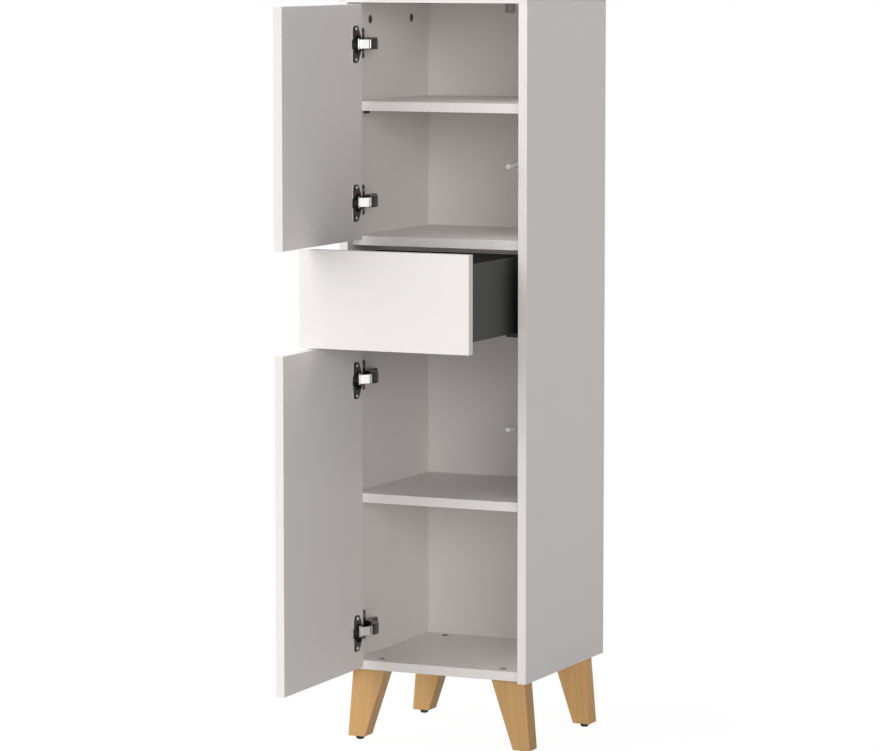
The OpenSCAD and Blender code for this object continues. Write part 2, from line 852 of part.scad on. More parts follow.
module door_panel(z, h, zs) {
  difference() {
    block([-front_w / 2, front_y, z], [front_w / 2, door_face_y, z + h]);
    at_hinges(zs) {
      rod_y([cup_x, door_face_y - cup_depth - fit, 0], cup_d / 2 + fit, cup_depth + fit + eps);
      at_cup_screws() translate([0, 0, -cup_screw_l - flange_t - fit])
        cylinder(d = cup_screw_d + 2 * fit, h = cup_screw_l + flange_t + fit + eps);
    }
  }
}

// The upper half of the flange: a rim round the cup, straight on the far side,
// and an ear round the screw. The ear's slanted edge touches the rim.
module half_flange() {
  corner_r = 6;
  rim_r = cup_d / 2 + cup_rim;
  ear = [rim_r - flange_w + corner_r, flange_l / 2 - corner_r];
  lean = atan2(ear[1], ear[0]) + acos((rim_r - corner_r) / norm(ear));
  slant = [cos(lean), sin(lean)];
  circle(r = rim_r);
  for (x = [ear[0], rim_r - corner_r]) translate([x, ear[1]]) circle(r = corner_r);
  polygon([
    [0, 0], [rim_r, 0], [rim_r, ear[1]], [rim_r - corner_r, flange_l / 2], [ear[0], flange_l / 2],
    ear + corner_r * slant, rim_r * slant
  ]);
}

module flange_plan() {
  half_flange();
  mirror([0, 1]) half_flange();
}

module hinge_cup() {
  difference() {
    union() {
      rod_y([cup_x, door_face_y - cup_depth, 0], cup_d / 2, cup_depth + flange_t / 2);
      translate([cup_x, door_face_y, 0]) rotate([-90, 0, 0]) linear_extrude(flange_t) flange_plan();
    }
    rod_y([cup_x, door_face_y - cup_depth + cup_wall, 0], cup_d / 2 - cup_wall, cup_depth + 2 * eps);
    block([cup_x - cup_d, door_face_y - mouth_depth, -mouth_half],
      [cup_x - cup_inset / 2, door_face_y + flange_t + eps, mouth_half]);
    block([cup_x, door_face_y + run_fit, -mouth_half],
      [cup_x + cup_d, door_face_y + flange_t + eps, mouth_half]);
    at_cup_screws() translate([0, 0, -flange_t - eps])
      cylinder(d = cup_screw_d + 2 * fit, h = flange_t + 2 * eps);
    translate(cup_pivot) cylinder(r = pin_r + pin_play, h = 2 * cup_pin_half, center = true);
  }
}

module cup_pins(zs) {
  at_hinges(zs) translate(cup_pivot) cylinder(r = pin_r, h = 2 * cup_pin_half, center = true);
}

module cup_screws(zs) {
  at_hinges(zs) at_cup_screws() screw(cup_screw_head, cup_screw_d, cup_screw_l + flange_t);
}

module upper_door_panel() {
  color(melamine) swing_door() door_panel(upper_door_z, upper_door_h, upper_hinge_zs);
}

module lower_door_panel() {
  color(melamine) swing_door() door_panel(lower_door_z, lower_door_h, lower_hinge_zs);
}

module upper_hinge_cups() { color(gunmetal) swing_door() at_hinges(upper_hinge_zs) hinge_cup(); }
module lower_hinge_cups() { color(gunmetal) swing_door() at_hinges(lower_hinge_zs) hinge_cup(); }
module upper_cup_pins() { color(nickel) swing_door() cup_pins(upper_hinge_zs); }
module lower_cup_pins() { color(nickel) swing_door() cup_pins(lower_hinge_zs); }
module upper_cup_screws() { color(nickel) swing_door() cup_screws(upper_hinge_zs); }
module lower_cup_screws() { color(nickel) swing_door() cup_screws(lower_hinge_zs); }

// Push latches on the right side panel

latch_screw_d = 3;
latch_screw_l = 12;
latch_screw_head = [6, 1.5];
latch_foot_t = 3;
latch_foot_half = 15;
latch_screw_rise = 11;
rod_engaged = 20;
latch_neck = 1.5;
latch_foot_setback = 14;
latch_end_t = 3;
latch_edge = 1;

module at_latches() {
  for (z = [upper_latch_z, lower_latch_z]) translate([0, 0, z]) children();
}

module at_latch_screws() {
  for (dz = [-latch_screw_rise, latch_screw_rise])
    translate([inner_w / 2 - latch_foot_t, latch_y0 + latch_body_l / 2, dz]) children();
}

module latch_screw_holes() {
  at_latch_screws() rod_x([0, 0, 0], latch_screw_d / 2 + fit, latch_foot_t + latch_screw_l + fit);
}

module latch_housing() {
  difference() {
    union() {
      rod_y([latch_x, latch_y0, 0], latch_body_d / 2, latch_body_l);
      block([latch_x, latch_y0, latch_neck - latch_body_d / 2],
        [inner_w / 2, latch_y0 + latch_body_l, latch_body_d / 2 - latch_neck]);
      block([inner_w / 2 - latch_foot_t, latch_y0 + latch_foot_setback, -latch_foot_half],
        [inner_w / 2, latch_y0 + latch_body_l - latch_foot_setback, latch_foot_half]);
    }
    rod_y([latch_x, latch_y0 - eps, 0], latch_rod_d / 2 + run_fit, latch_body_l - latch_end_t + eps);
    latch_screw_holes();
  }
}

module latch_housings() { color([0.80, 0.80, 0.79]) at_latches() latch_housing(); }

module latch_screws() {
  color(nickel) at_latches() at_latch_screws() rotate([0, -90, 0])
    screw(latch_screw_head, latch_screw_d, latch_foot_t + latch_screw_l);
}

module latch_plunger() {
  tip_y = front_y - latch_out;
  rod_y([latch_x, tip_y + latch_edge, 0], latch_tip_d / 2, latch_tip_l - latch_edge);
  translate([latch_x, tip_y + latch_edge, 0]) rotate([90, 0, 0])
    cylinder(d1 = latch_tip_d, d2 = latch_tip_d - 2 * latch_edge, h = latch_edge);
  rod_y([latch_x, tip_y + latch_tip_l, 0], latch_rod_d / 2, latch_y0 - tip_y - latch_tip_l + rod_engaged);
}

module upper_latch_plunger() { color([0.86, 0.86, 0.85]) translate([0, 0, upper_latch_z]) latch_plunger(); }
module lower_latch_plunger() { color([0.86, 0.86, 0.85]) translate([0, 0, lower_latch_z]) latch_plunger(); }

// Drawer runners, three nested members on each side

rail_screw_d = 4;
rail_screw_l = 12;
rail_screw_head = [8, 1.5];
rail_screw_inset = 30;
rail_floor_gap = 6;
rail_plate_h = 17;
middle_skirt = 12;
drawer_skirt = 14;
clip_l = 14;
clip_reach = 10;
rail_z0 = drawer_side_z - rail_floor_gap - sheet_t;
tongue_top_z = rail_top_z - 2 * (sheet_t + slide_gap);

module at_rail_screws() {
  for (y = [rail_y0 + rail_screw_inset, rail_y0 + drawer_length - rail_screw_inset])
    translate([0, y, rail_z0 + rail_plate_h / 2]) children();
}

// An upside-down channel around the runner's centre line
module channel(half, top, depth, y0, l) {
  difference() {
    block([rail_x - half, y0, top - depth], [rail_x + half, y0 + l, top]);
    block([rail_x - half + sheet_t, y0 - eps, top - depth - eps],
      [rail_x + half - sheet_t, y0 + l + eps, top - sheet_t]);
  }
}

module cabinet_rail() {
  difference() {
    union() {
      block([inner_w / 2 - sheet_t, rail_y0, rail_z0],
        [inner_w / 2, rail_y0 + drawer_length, rail_z0 + rail_plate_h]);
      block([rail_x - tongue_half, rail_y0, rail_z0],
        [inner_w / 2, rail_y0 + drawer_length, rail_z0 + sheet_t]);
      block([rail_x - tongue_half, rail_y0, rail_z0],
        [rail_x + tongue_half, rail_y0 + drawer_length, tongue_top_z]);
      block([rail_x - clip_reach, rail_y0, rail_z0],
        [inner_w / 2, rail_y0 + clip_l, drawer_side_z - slide_gap]);
    }
    at_rail_screws() rod_x([inner_w / 2 - sheet_t - eps, 0, 0], rail_screw_d / 2 + fit, sheet_t + 2 * eps);
  }
}

module middle_rail() {
  top = rail_top_z - sheet_t - slide_gap;
  channel(middle_half, top, middle_skirt, rail_y0 - drawer_out / 2, drawer_length);
}

module drawer_rail() {
  y0 = drawer_y0 + bracket_l - drawer_out;
  channel(outer_half, rail_top_z, drawer_skirt, y0, drawer_length - bracket_l);
}

module rail_screws() {
  color(nickel) both_sides() at_rail_screws() translate([inner_w / 2 - sheet_t, 0, 0]) rotate([0, -90, 0])
    screw(rail_screw_head, rail_screw_d, rail_screw_l);
}

module left_cabinet_rail() { color(gunmetal) mirror([1, 0, 0]) cabinet_rail(); }
module right_cabinet_rail() { color(gunmetal) cabinet_rail(); }
module left_middle_rail() { color(nickel) mirror([1, 0, 0]) middle_rail(); }
module right_middle_rail() { color(nickel) middle_rail(); }
module left_drawer_rail() { color(nickel) mirror([1, 0, 0]) drawer_rail(); }
module right_drawer_rail() { color(nickel) drawer_rail(); }

// Drawer box, drawn closed and then pulled out

bracket_l = 24;
bracket_h = 60;
ledge_w = 14;
ledge_setback = 1;
drawer_screw_d = 3.5;
front_screw_l = 9;
front_screw_half = 16;
drawer_screw_head = [6.5, 1.5];
bracket_lift = 20;
bracket_z = rail_top_z + bracket_lift;

module pull_drawer() {
  translate([0, -drawer_out, 0]) children();
}

module drawer_front() {
  color(melamine) pull_drawer() difference() {
    block([-front_w / 2, front_y, drawer_front_z],
      [front_w / 2, drawer_y0, drawer_front_z + drawer_front_h]);
    both_sides() at_front_screws()
      rod_y([0, -front_screw_l - fit, 0], drawer_screw_d / 2 + fit, front_screw_l + eps + fit);
  }
}

module drawer_side() {
  top = drawer_side_z + drawer_side_h;
  difference() {
    block([drawer_inner_x, drawer_y0, drawer_side_z], [drawer_outer_x, drawer_y0 + drawer_length, top]);
    block([drawer_inner_x + sheet_t, drawer_y0 - eps, drawer_side_z - eps],
      [drawer_outer_x - sheet_t, drawer_y0 + drawer_length + eps, top - sheet_t]);
  }
  block([drawer_inner_x - ledge_w, drawer_y0 + ledge_setback, drawer_side_z],
    [drawer_inner_x + sheet_t, drawer_y0 + drawer_length, drawer_side_z + sheet_t]);
}

module left_drawer_side() { color(anthracite) pull_drawer() mirror([1, 0, 0]) drawer_side(); }
module right_drawer_side() { color(anthracite) pull_drawer() drawer_side(); }

module drawer_bottom() {
  color(anthracite) pull_drawer()
    block([-drawer_inner_x + fit, drawer_y0, drawer_floor_z],
      [drawer_inner_x - fit, drawer_y0 + drawer_length, drawer_floor_z + drawer_bottom_t]);
}

module drawer_back() {
  rear = drawer_y0 + drawer_length;
  color(anthracite) pull_drawer()
    block([-drawer_inner_x + fit, rear - board_t, drawer_floor_z + drawer_bottom_t],
      [drawer_inner_x - fit, rear, drawer_side_z + drawer_side_h]);
}

module at_front_screws() {
  for (dz = [-front_screw_half, front_screw_half])
    translate([rail_x, drawer_y0, bracket_z + bracket_h / 2 + dz]) children();
}

// The bracket inside each hollow side, screwed to the drawer front
module front_bracket() {
  difference() {
    block([rail_x - outer_half, drawer_y0, bracket_z],
      [rail_x + outer_half, drawer_y0 + bracket_l, bracket_z + bracket_h]);
    block([rail_x - outer_half + sheet_t, drawer_y0 + sheet_t, bracket_z - eps],
      [rail_x + outer_half - sheet_t, drawer_y0 + bracket_l + eps, bracket_z + bracket_h + eps]);
    at_front_screws() rod_y([0, -eps, 0], drawer_screw_d / 2 + fit, sheet_t + 2 * eps);
  }
}

module drawer_front_brackets() {
  color(gunmetal) pull_drawer() both_sides() front_bracket();
}

module drawer_screws() {
  color(nickel) pull_drawer() both_sides() at_front_screws() translate([0, sheet_t, 0]) rotate([-90, 0, 0])
    screw(drawer_screw_head, drawer_screw_d, front_screw_l + sheet_t);
}

left_side_panel();
right_side_panel();
top_panel();
bottom_panel();
divider_panel();
back_panel();
back_panel_screws();
upper_shelf();
lower_shelf();
upper_shelf_supports();
lower_shelf_supports();
cam_locks();
cam_bolts();
wooden_dowels();
front_left_leg();
front_right_leg();
rear_left_leg();
rear_right_leg();
leg_bolts();
leg_nuts();
foot_sockets();
front_left_foot();
front_right_foot();
rear_left_foot();
rear_right_foot();
wall_bracket();
wall_bracket_screw();
hinge_mounting_plates();
hinge_plate_screws();
hinge_arms();
hinge_arm_pins();
upper_hinge_links();
lower_hinge_links();
upper_door_panel();
upper_hinge_cups();
upper_cup_screws();
upper_cup_pins();
lower_door_panel();
lower_hinge_cups();
lower_cup_screws();
lower_cup_pins();
latch_housings();
latch_screws();
upper_latch_plunger();
lower_latch_plunger();
left_cabinet_rail();
right_cabinet_rail();
rail_screws();
left_middle_rail();
right_middle_rail();
left_drawer_rail();
right_drawer_rail();
drawer_front();
left_drawer_side();
right_drawer_side();
drawer_bottom();
drawer_back();
drawer_front_brackets();
drawer_screws();
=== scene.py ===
# %% [markdown]
# # A tall bathroom cabinet with its doors open
#
# The cabinet is a narrow carcass of coated boards on four splayed wooden legs.
# Two doors hang on concealed hinges at the left, and a steel-sided drawer runs
# between them. The solids come ready from the construction model, so this
# lesson is about the last step: softened edges, screws and believable finishes.

# %% Load the frame
import json
import math

import bmesh
import bpy
from mathutils import Matrix, Vector


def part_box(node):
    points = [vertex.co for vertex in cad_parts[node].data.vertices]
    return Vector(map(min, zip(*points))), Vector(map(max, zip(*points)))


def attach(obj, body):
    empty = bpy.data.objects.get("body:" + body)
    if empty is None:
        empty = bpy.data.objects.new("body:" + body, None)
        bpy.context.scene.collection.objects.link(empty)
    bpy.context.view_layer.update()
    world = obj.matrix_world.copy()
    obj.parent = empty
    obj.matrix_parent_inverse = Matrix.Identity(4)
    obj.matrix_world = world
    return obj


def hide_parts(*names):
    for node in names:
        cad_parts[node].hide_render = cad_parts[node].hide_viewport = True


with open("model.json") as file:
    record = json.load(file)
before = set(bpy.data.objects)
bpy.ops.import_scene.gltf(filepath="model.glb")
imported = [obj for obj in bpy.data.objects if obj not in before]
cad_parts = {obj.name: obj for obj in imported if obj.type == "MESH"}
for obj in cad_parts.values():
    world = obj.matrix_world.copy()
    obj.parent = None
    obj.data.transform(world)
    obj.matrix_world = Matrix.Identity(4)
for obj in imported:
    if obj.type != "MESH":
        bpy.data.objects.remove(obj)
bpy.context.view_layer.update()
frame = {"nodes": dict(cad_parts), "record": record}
nodes, record = frame["nodes"], frame["record"]
body_of_node = {n: b for b, names in record["behaviour"]["bodies"].items() for n in names}

# %% [markdown]
# ## The camera
#
# The picture was taken from the front right, a little above the middle, with a
# long lens. A long lens keeps the upright edges almost parallel, which is why
# product pictures use one. A camera can be set by eye, but a near one with a
# short lens and a far one with a long lens are hard to tell apart that way. So
# its place and its angles come from edges measured in the picture.

# %% Camera
scene = bpy.context.scene
LENS_LENGTH, SENSOR_WIDTH = 164.53, 36
NEAREST, FARTHEST = 0.1, 100
CAMERA_PLACE = (2.8549, -6.3477, 1.3771)
CAMERA_AZIMUTH, CAMERA_PITCH = math.radians(24.698), math.radians(6.122)

lens = bpy.data.cameras.new("long_lens")
lens.lens, lens.sensor_width = LENS_LENGTH, SENSOR_WIDTH
lens.clip_start, lens.clip_end = NEAREST, FARTHEST
camera = bpy.data.objects.new("camera", lens)
camera.location = CAMERA_PLACE
camera.rotation_euler = (math.pi / 2 - CAMERA_PITCH, 0, CAMERA_AZIMUTH)
scene.collection.objects.link(camera)
scene.camera = camera
print("camera distance:", round(Vector(CAMERA_PLACE).length, 2))

# %% [markdown]
# ## Node trees
#
# Light, floor, finishes and screws are all made by small node trees. They could
# be wired by hand in the editor, but a few helpers make each tree as short as a
# recipe, and a recipe is easier to read and to change.

# %% Helpers for node trees
def node_tree(owner):
    """The emptied node tree of a world or a material."""
    owner.use_nodes = True
    tree = owner.node_tree
    tree.nodes.clear()
    return tree


def add(tree, kind, inputs=None, **settings):
    """A node with its settings, and its inputs by name or number.

    An input is a value, a linked output, or a list of outputs where a socket takes several."""
    made = tree.nodes.new(kind)
    for key, value in settings.items():
        setattr(made, key, value)
    for key, value in (inputs or {}).items():
        for one in value if isinstance(value, list) else [value]:
            if isinstance(one, bpy.types.NodeSocket):
                tree.links.new(one, made.inputs[key])
            else:
                made.inputs[key].default_value = one
    return made


def calc(tree, operation, *terms):
    """One step of arithmetic in a tree."""
    return add(tree, "ShaderNodeMath", dict(enumerate(terms)), operation=operation).outputs[0]


def seen_directly(tree):
    """1 for a ray that shows the thing itself, also in a mirror or through glass, and else 0."""
    path = add(tree, "ShaderNodeLightPath").outputs
    shown = calc(tree, "MAXIMUM", path["Is Camera Ray"], path["Is Glossy Ray"])
    return calc(tree, "MAXIMUM", shown, path["Is Transmission Ray"])


# %% [markdown]
# ## Light
#
# The picture has an even light with hardly a shadow, and a soft main light from
# the viewer's upper left. Area lamps would be as soft, but they are brighter
# near than far. A sun with a very wide angle is equally strong everywhere, so
# the floor stays even up to the horizon. The world fills the rest. It looks
# white to the camera and in mirrors, but its light on dull surfaces is weak,
# so that the shaded sides keep their tone.

# %% World
WHITE = (1, 1, 1, 1)
FILL, FILL_COLOUR = 0.225, (1.0, 0.985, 0.975, 1)
world = bpy.data.worlds.new("studio")
scene.world = world
tree = node_tree(world)
fill = add(tree, "ShaderNodeBackground", {"Color": FILL_COLOUR, "Strength": FILL}).outputs[0]
white = add(tree, "ShaderNodeBackground", {"Color": WHITE, "Strength": 1.0}).outputs[0]
blend = add(tree, "ShaderNodeMixShader", {0: seen_directly(tree), 1: fill, 2: white}).outputs[0]
add(tree, "ShaderNodeOutputWorld", {"Surface": blend})
print("fill light:", FILL)

# %% Lamps
LAMP_DISTANCE = 3


def sun(name, azimuth, elevation, strength, spread):
    """A soft lamp. Azimuth 0 is in front of the cabinet, and turns towards the viewer's right."""
    lamp = bpy.data.lights.new(name, "SUN")
    lamp.energy, lamp.angle = strength, math.radians(spread)
    stand = bpy.data.objects.new(name, lamp)
    a, e = math.radians(azimuth), math.radians(elevation)
    towards = Vector((-math.sin(a) * math.cos(e), math.cos(a) * math.cos(e), -math.sin(e)))
    stand.rotation_euler = towards.to_track_quat("-Z", "Y").to_euler()
    stand.location = -towards * LAMP_DISTANCE
    scene.collection.objects.link(stand)
    print(name, "strength:", strength)


sun("main_light", azimuth=-48, elevation=38, strength=2.52, spread=70)
sun("front_light", azimuth=33, elevation=4, strength=1.35, spread=38)
sun("back_light", azimuth=-150, elevation=30, strength=0.60, spread=60)

# %% [markdown]
# ## Floor
#
# The cabinet stands on white paper without a horizon. A plain white plane would
# show as grey where the light is weak. So the camera sees a floor that glows
# evenly, with a small share of matt paper that takes a faint shadow under the
# legs. To all other light it is matt paper, which brightens the cabinet from
# below.

# %% Floor
FLOOR_REACH = 60.0
SHADOW_SHARE = 0.10
PAPER_COLOUR, GLOW = (0.56, 0.56, 0.55, 1), 1.07
corners = [(x * FLOOR_REACH, y * FLOOR_REACH, 0) for x, y in ((-1, -1), (1, -1), (1, 1), (-1, 1))]
mesh = bpy.data.meshes.new("floor")
mesh.from_pydata(corners, [], [(0, 1, 2, 3)])
floor = bpy.data.objects.new("floor", mesh)
scene.collection.objects.link(floor)
paper = bpy.data.materials.new("white_floor")
tree = node_tree(paper)
matt = add(tree, "ShaderNodeBsdfDiffuse", {"Color": PAPER_COLOUR}).outputs[0]
glow = add(tree, "ShaderNodeEmission", {"Color": WHITE, "Strength": GLOW}).outputs[0]
glow_share = calc(tree, "MULTIPLY", seen_directly(tree), 1 - SHADOW_SHARE)
blend = add(tree, "ShaderNodeMixShader", {0: glow_share, 1: matt, 2: glow}).outputs[0]
add(tree, "ShaderNodeOutputMaterial", {"Surface": blend})
floor.data.materials.append(paper)
print("floor reach in metres:", FLOOR_REACH)

# %% [markdown]
# ## Finishes
#
# Coated board, plated and painted steel and moulded plastic all have a fine
# grain and small changes of tone. Pictures could be laid over them, but noise
# needs no unwrapping and never repeats. It reads Object coordinates, which are
# metres here, because each piece sits at the origin. A scale of 400 is then a
# grain of about 2.5 mm. The colour is written once, and the noise moves it a
# little. What is the same all over is set on the shader's own socket.

# %% A finish with a fine grain
BROAD = 60
GRAIN_RELIEF = 0.0005
finishes = {}


def mixed(tree, share, first, second, way="MIX"):
    """A colour between two others. They go into sockets 6 and 7, and output 2 is the mix."""
    return add(tree, "ShaderNodeMix", {0: share, 6: first, 7: second},
               data_type="RGBA", blend_type=way).outputs[2]


def skin(tree, inputs):
    """Ends a tree with a surface of the given inputs."""
    surface = add(tree, "ShaderNodeBsdfPrincipled", inputs).outputs[0]
    add(tree, "ShaderNodeOutputMaterial", {"Surface": surface})


def finish(name, colour, rough, metal=0.0, grain=700.0, bump=0.02, tint=0.03,
           rough_swing=0.06, specular=0.5):
    """A material: noise moves its colour, its roughness and its surface a little."""
    made = bpy.data.materials.new(name)
    tree = node_tree(made)
    place = add(tree, "ShaderNodeTexCoord").outputs["Object"]
    noise = add(tree, "ShaderNodeTexNoise", {
        "Vector": place, "Scale": grain, "Detail": 3.0}).outputs["Fac"]
    broad = add(tree, "ShaderNodeTexNoise", {
        "Vector": place, "Scale": grain / BROAD, "Detail": 2.0}).outputs["Fac"]
    dark = (*[c * (1 - tint) for c in colour], 1)
    light = (*[min(1, c * (1 + tint)) for c in colour], 1)
    shine = add(tree, "ShaderNodeMapRange", {
        "Value": noise, "To Min": rough - rough_swing, "To Max": rough + rough_swing}).outputs[0]
    relief = add(tree, "ShaderNodeBump", {
        "Height": noise, "Strength": bump, "Distance": GRAIN_RELIEF}).outputs[0]
    skin(tree, {"Base Color": mixed(tree, broad, dark, light), "Roughness": shine,
                "Metallic": metal, "Normal": relief, "Specular IOR Level": specular})
    finishes[name] = made


# %% The finishes of the cabinet
finish("coated_board", (0.88, 0.842, 0.826), 0.48, grain=900, bump=0.05, tint=0.010, specular=0.34)
finish("raw_hardboard", (0.50, 0.36, 0.235), 0.75, grain=1300, bump=0.35, tint=0.12, specular=0.2)
finish("dark_board", (0.060, 0.060, 0.056), 0.60, grain=900, bump=0.08, specular=0.3)
finish("turned_beech", (0.62, 0.42, 0.22), 0.6, grain=500, bump=0.1, tint=0.08)
finish("dark_nickel", (0.115, 0.112, 0.105), 0.32, metal=0.85, grain=1500, bump=0.03, tint=0.12)
finish("bright_nickel", (0.93, 0.93, 0.915), 0.12, metal=1.0, grain=1500, bump=0.004,
       rough_swing=0.03)
finish("satin_nickel", (0.50, 0.50, 0.485), 0.30, metal=1.0, grain=1500, bump=0.02, tint=0.08)
# A near-white paint for the rim of the hinge cups next to the door: a painted highlight.
finish("painted_highlight_rim", (0.93, 0.92, 0.91), 0.50, grain=1500, bump=0.03, tint=0.04)
finish("zinc", (0.52, 0.52, 0.51), 0.36, metal=0.9, grain=900, bump=0.04, tint=0.08)
finish("burnished_zinc", (0.105, 0.096, 0.086), 0.42, metal=0.55, grain=1200, bump=0.08, tint=0.20)
finish("aged_zinc", (0.26, 0.24, 0.21), 0.50, metal=0.45, grain=1200, bump=0.08, tint=0.15,
       specular=0.3)
finish("galvanised", (0.30, 0.29, 0.275), 0.55, metal=0.5, bump=0.05, tint=0.15, specular=0.3)
finish("dull_sheet", (0.52, 0.50, 0.475), 0.60, metal=0.3, grain=900, bump=0.05, tint=0.10,
       specular=0.3)
finish("black_steel", (0.020, 0.020, 0.019), 0.45, grain=1400, bump=0.08, specular=0.4)
finish("powder_coat", (0.025, 0.027, 0.023), 0.55, grain=1400, bump=0.12, specular=0.35)
finish("black_plastic", (0.018, 0.018, 0.018), 0.50, grain=1800, bump=0.12)
finish("grey_plastic", (0.56, 0.55, 0.53), 0.42, grain=1500, bump=0.05)
print("finishes:", sorted(finishes))

# %% [markdown]
# ## Lacquered wood for the legs
#
# The legs are a pale, honey-coloured wood whose figure is faint under the
# lacquer. A wave alone would look like stripes. So noise stretched along the
# grain gives fine fibres, a distorted wave gives slow growth bands, and a broad
# noise gives cloudy patches. A leg leans, and its grain is turned by the same
# angle. Each leg is sawn from a piece of its own, so each one has its own
# figure. Each one is also painted a little lighter or darker, to make up for
# the light that it gets: painted light and shade, most of all on the rear right
# leg, which stands in the shade of the cabinet.

# %% Wood
LIGHT_WOOD, DARK_WOOD = (0.80, 0.485, 0.208), (0.655, 0.387, 0.158)
FIBRE_STRETCH, BAND_STRETCH = (1, 1, 0.03), (1.0, 0.7, 0.10)
FIBRE_SCALE, BAND_SCALE, CLOUD_SCALE = 1100.0, 24.0, 30.0
BAND_SHARE, CLOUD_SHARE = 0.28, 0.72
PORE_FROM, PORE_TO, PORE_SHADE = 0.30, 0.50, 0.90
DULL_FIBRE, SHINY_FIBRE = 0.56, 0.44
FIBRE_RELIEF = 0.0003


def wood(name, lean, shade, cut):
    """A wood whose grain leans, made lighter or darker by a factor of painted light, cut at its
    own place of the plank.
    """
    made = bpy.data.materials.new(name)
    tree = node_tree(made)
    place = add(tree, "ShaderNodeTexCoord").outputs["Object"]
    plank = add(tree, "ShaderNodeMapping", {
        "Vector": place, "Location": (cut, 0, 0), "Rotation": (0, lean, 0)}).outputs[0]
    along = add(tree, "ShaderNodeMapping", {"Vector": plank, "Scale": FIBRE_STRETCH}).outputs[0]
    slow = add(tree, "ShaderNodeMapping", {"Vector": plank, "Scale": BAND_STRETCH}).outputs[0]
    fibre = add(tree, "ShaderNodeTexNoise", {
        "Vector": along, "Scale": FIBRE_SCALE, "Detail": 4.0}).outputs["Fac"]
    bands = add(tree, "ShaderNodeTexWave", {
        "Vector": slow, "Scale": BAND_SCALE, "Distortion": 9.0, "Detail": 3.0,
        "Detail Scale": 1.2}).outputs["Fac"]
    cloud = add(tree, "ShaderNodeTexNoise", {
        "Vector": slow, "Scale": CLOUD_SCALE, "Detail": 2.0}).outputs["Fac"]
    figure = calc(tree, "MULTIPLY_ADD", cloud, CLOUD_SHARE,
                  calc(tree, "MULTIPLY", bands, BAND_SHARE))
    dark, light = ((*[min(1, c * shade) for c in tone], 1) for tone in (DARK_WOOD, LIGHT_WOOD))
    pores = add(tree, "ShaderNodeMapRange", {
        "Value": fibre, "From Min": PORE_FROM, "From Max": PORE_TO, "To Min": PORE_SHADE,
        "To Max": 1.0}).outputs[0]
    shine = add(tree, "ShaderNodeMapRange", {
        "Value": fibre, "To Min": DULL_FIBRE, "To Max": SHINY_FIBRE}).outputs[0]
    relief = add(tree, "ShaderNodeBump", {
        "Height": fibre, "Strength": 0.10, "Distance": FIBRE_RELIEF}).outputs[0]
    hue = mixed(tree, 1.0, mixed(tree, figure, dark, light), pores, "MULTIPLY")
    skin(tree, {"Base Color": hue, "Roughness": shine, "Normal": relief,
                "Specular IOR Level": 0.18})
    finishes[name] = made


# %% The wood of each leg
LEG_SPLAY, LEG_HEIGHT = 10, 120
# How much lighter or darker each leg is painted, for the light it gets: painted light and shade.
LEG_PAINTED_LIGHT = {
    "front_left_leg": 0.85, "front_right_leg": 0.83, "rear_left_leg": 0.79, "rear_right_leg": 1.20}
CUT_STEP = 0.37
leg_lean = math.atan2(LEG_SPLAY, LEG_HEIGHT)
for k, (name, shade) in enumerate(LEG_PAINTED_LIGHT.items()):
    wood(name + "_wood", -leg_lean if "left" in name else leg_lean, shade, CUT_STEP * k)
    low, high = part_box(name)
    print(name, "height:", round(high[2] - low[2], 4))

# %% [markdown]
# ## Softened edges
#
# No real board has a knife edge: its edge band is scraped to a small radius,
# and that radius catches a thin line of light. A shader can fake the line, but
# then the outline stays sharp. So a copy of each solid is welded, the triangles
# of its flat faces are joined, its edges are bevelled, and the copy stands in
# for the solid. The solid itself is never changed.

# %% A copy of a solid
WELD = 1e-6
FLAT = math.radians(0.4)


def merged(node):
    """A bmesh of a node with its doubles welded and its flat faces joined."""
    work = bmesh.new()
    work.from_mesh(nodes[node].data)
    bmesh.ops.remove_doubles(work, verts=work.verts, dist=WELD)
    bmesh.ops.dissolve_limit(work, angle_limit=FLAT, verts=work.verts, edges=work.edges)
    return work


# %% From a copy to a piece
def evaluated(source):
    """The mesh of an object with its modifiers applied. The object itself is removed."""
    scene.collection.objects.link(source)
    bpy.context.view_layer.update()
    result = bpy.data.meshes.new_from_object(
        source.evaluated_get(bpy.context.evaluated_depsgraph_get()))
    bpy.data.objects.remove(source)
    return result


def piece(work, name, node, materials, smooth=35.0):
    """Turns a bmesh into a piece that stands in for a CAD node and rides on its body."""
    mesh = bpy.data.meshes.new(name)
    work.to_mesh(mesh)
    work.free()
    for material in materials if isinstance(materials, tuple) else (materials,):
        mesh.materials.append(finishes[material])
    mesh.shade_smooth()
    mesh.set_sharp_from_angle(angle=math.radians(smooth))
    source = bpy.data.objects.new(name, mesh)
    # Large faces rule the shading, so flat boards stay flat up to their rounded edge.
    source.modifiers.new("weigh", "WEIGHTED_NORMAL").keep_sharp = True
    made = bpy.data.objects.new(name, evaluated(source))
    scene.collection.objects.link(made)
    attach(made, body_of_node[node])
    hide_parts(node)
    return made


# %% Rounding the edges
def rounded(work, width, angle=40.0, shortest=0.0, smallest=0.0, segments=2):
    """Bevels the edges that are sharp, long enough and lie between large enough faces."""
    edges = [e for e in work.edges if len(e.link_faces) == 2
             and e.calc_length() > shortest
             and e.calc_face_angle(0) > math.radians(angle)
             and min(f.calc_area() for f in e.link_faces) > smallest]
    bmesh.ops.bevel(work, geom=edges, offset=width, segments=segments, profile=0.5,
                    affect="EDGES", clamp_overlap=True)
    return len(edges)


BOARD_EDGE = 0.0006
boards = [
    "left_side_panel", "right_side_panel", "top_panel", "bottom_panel", "divider_panel",
    "upper_shelf", "lower_shelf", "upper_door_panel", "lower_door_panel", "drawer_front"]
for name in boards:
    work = merged(name)
    count = rounded(work, BOARD_EDGE, angle=60, shortest=0.012, smallest=2e-5)
    piece(work, name + "_board", name, "coated_board")
    print(name, "edges rounded:", count)

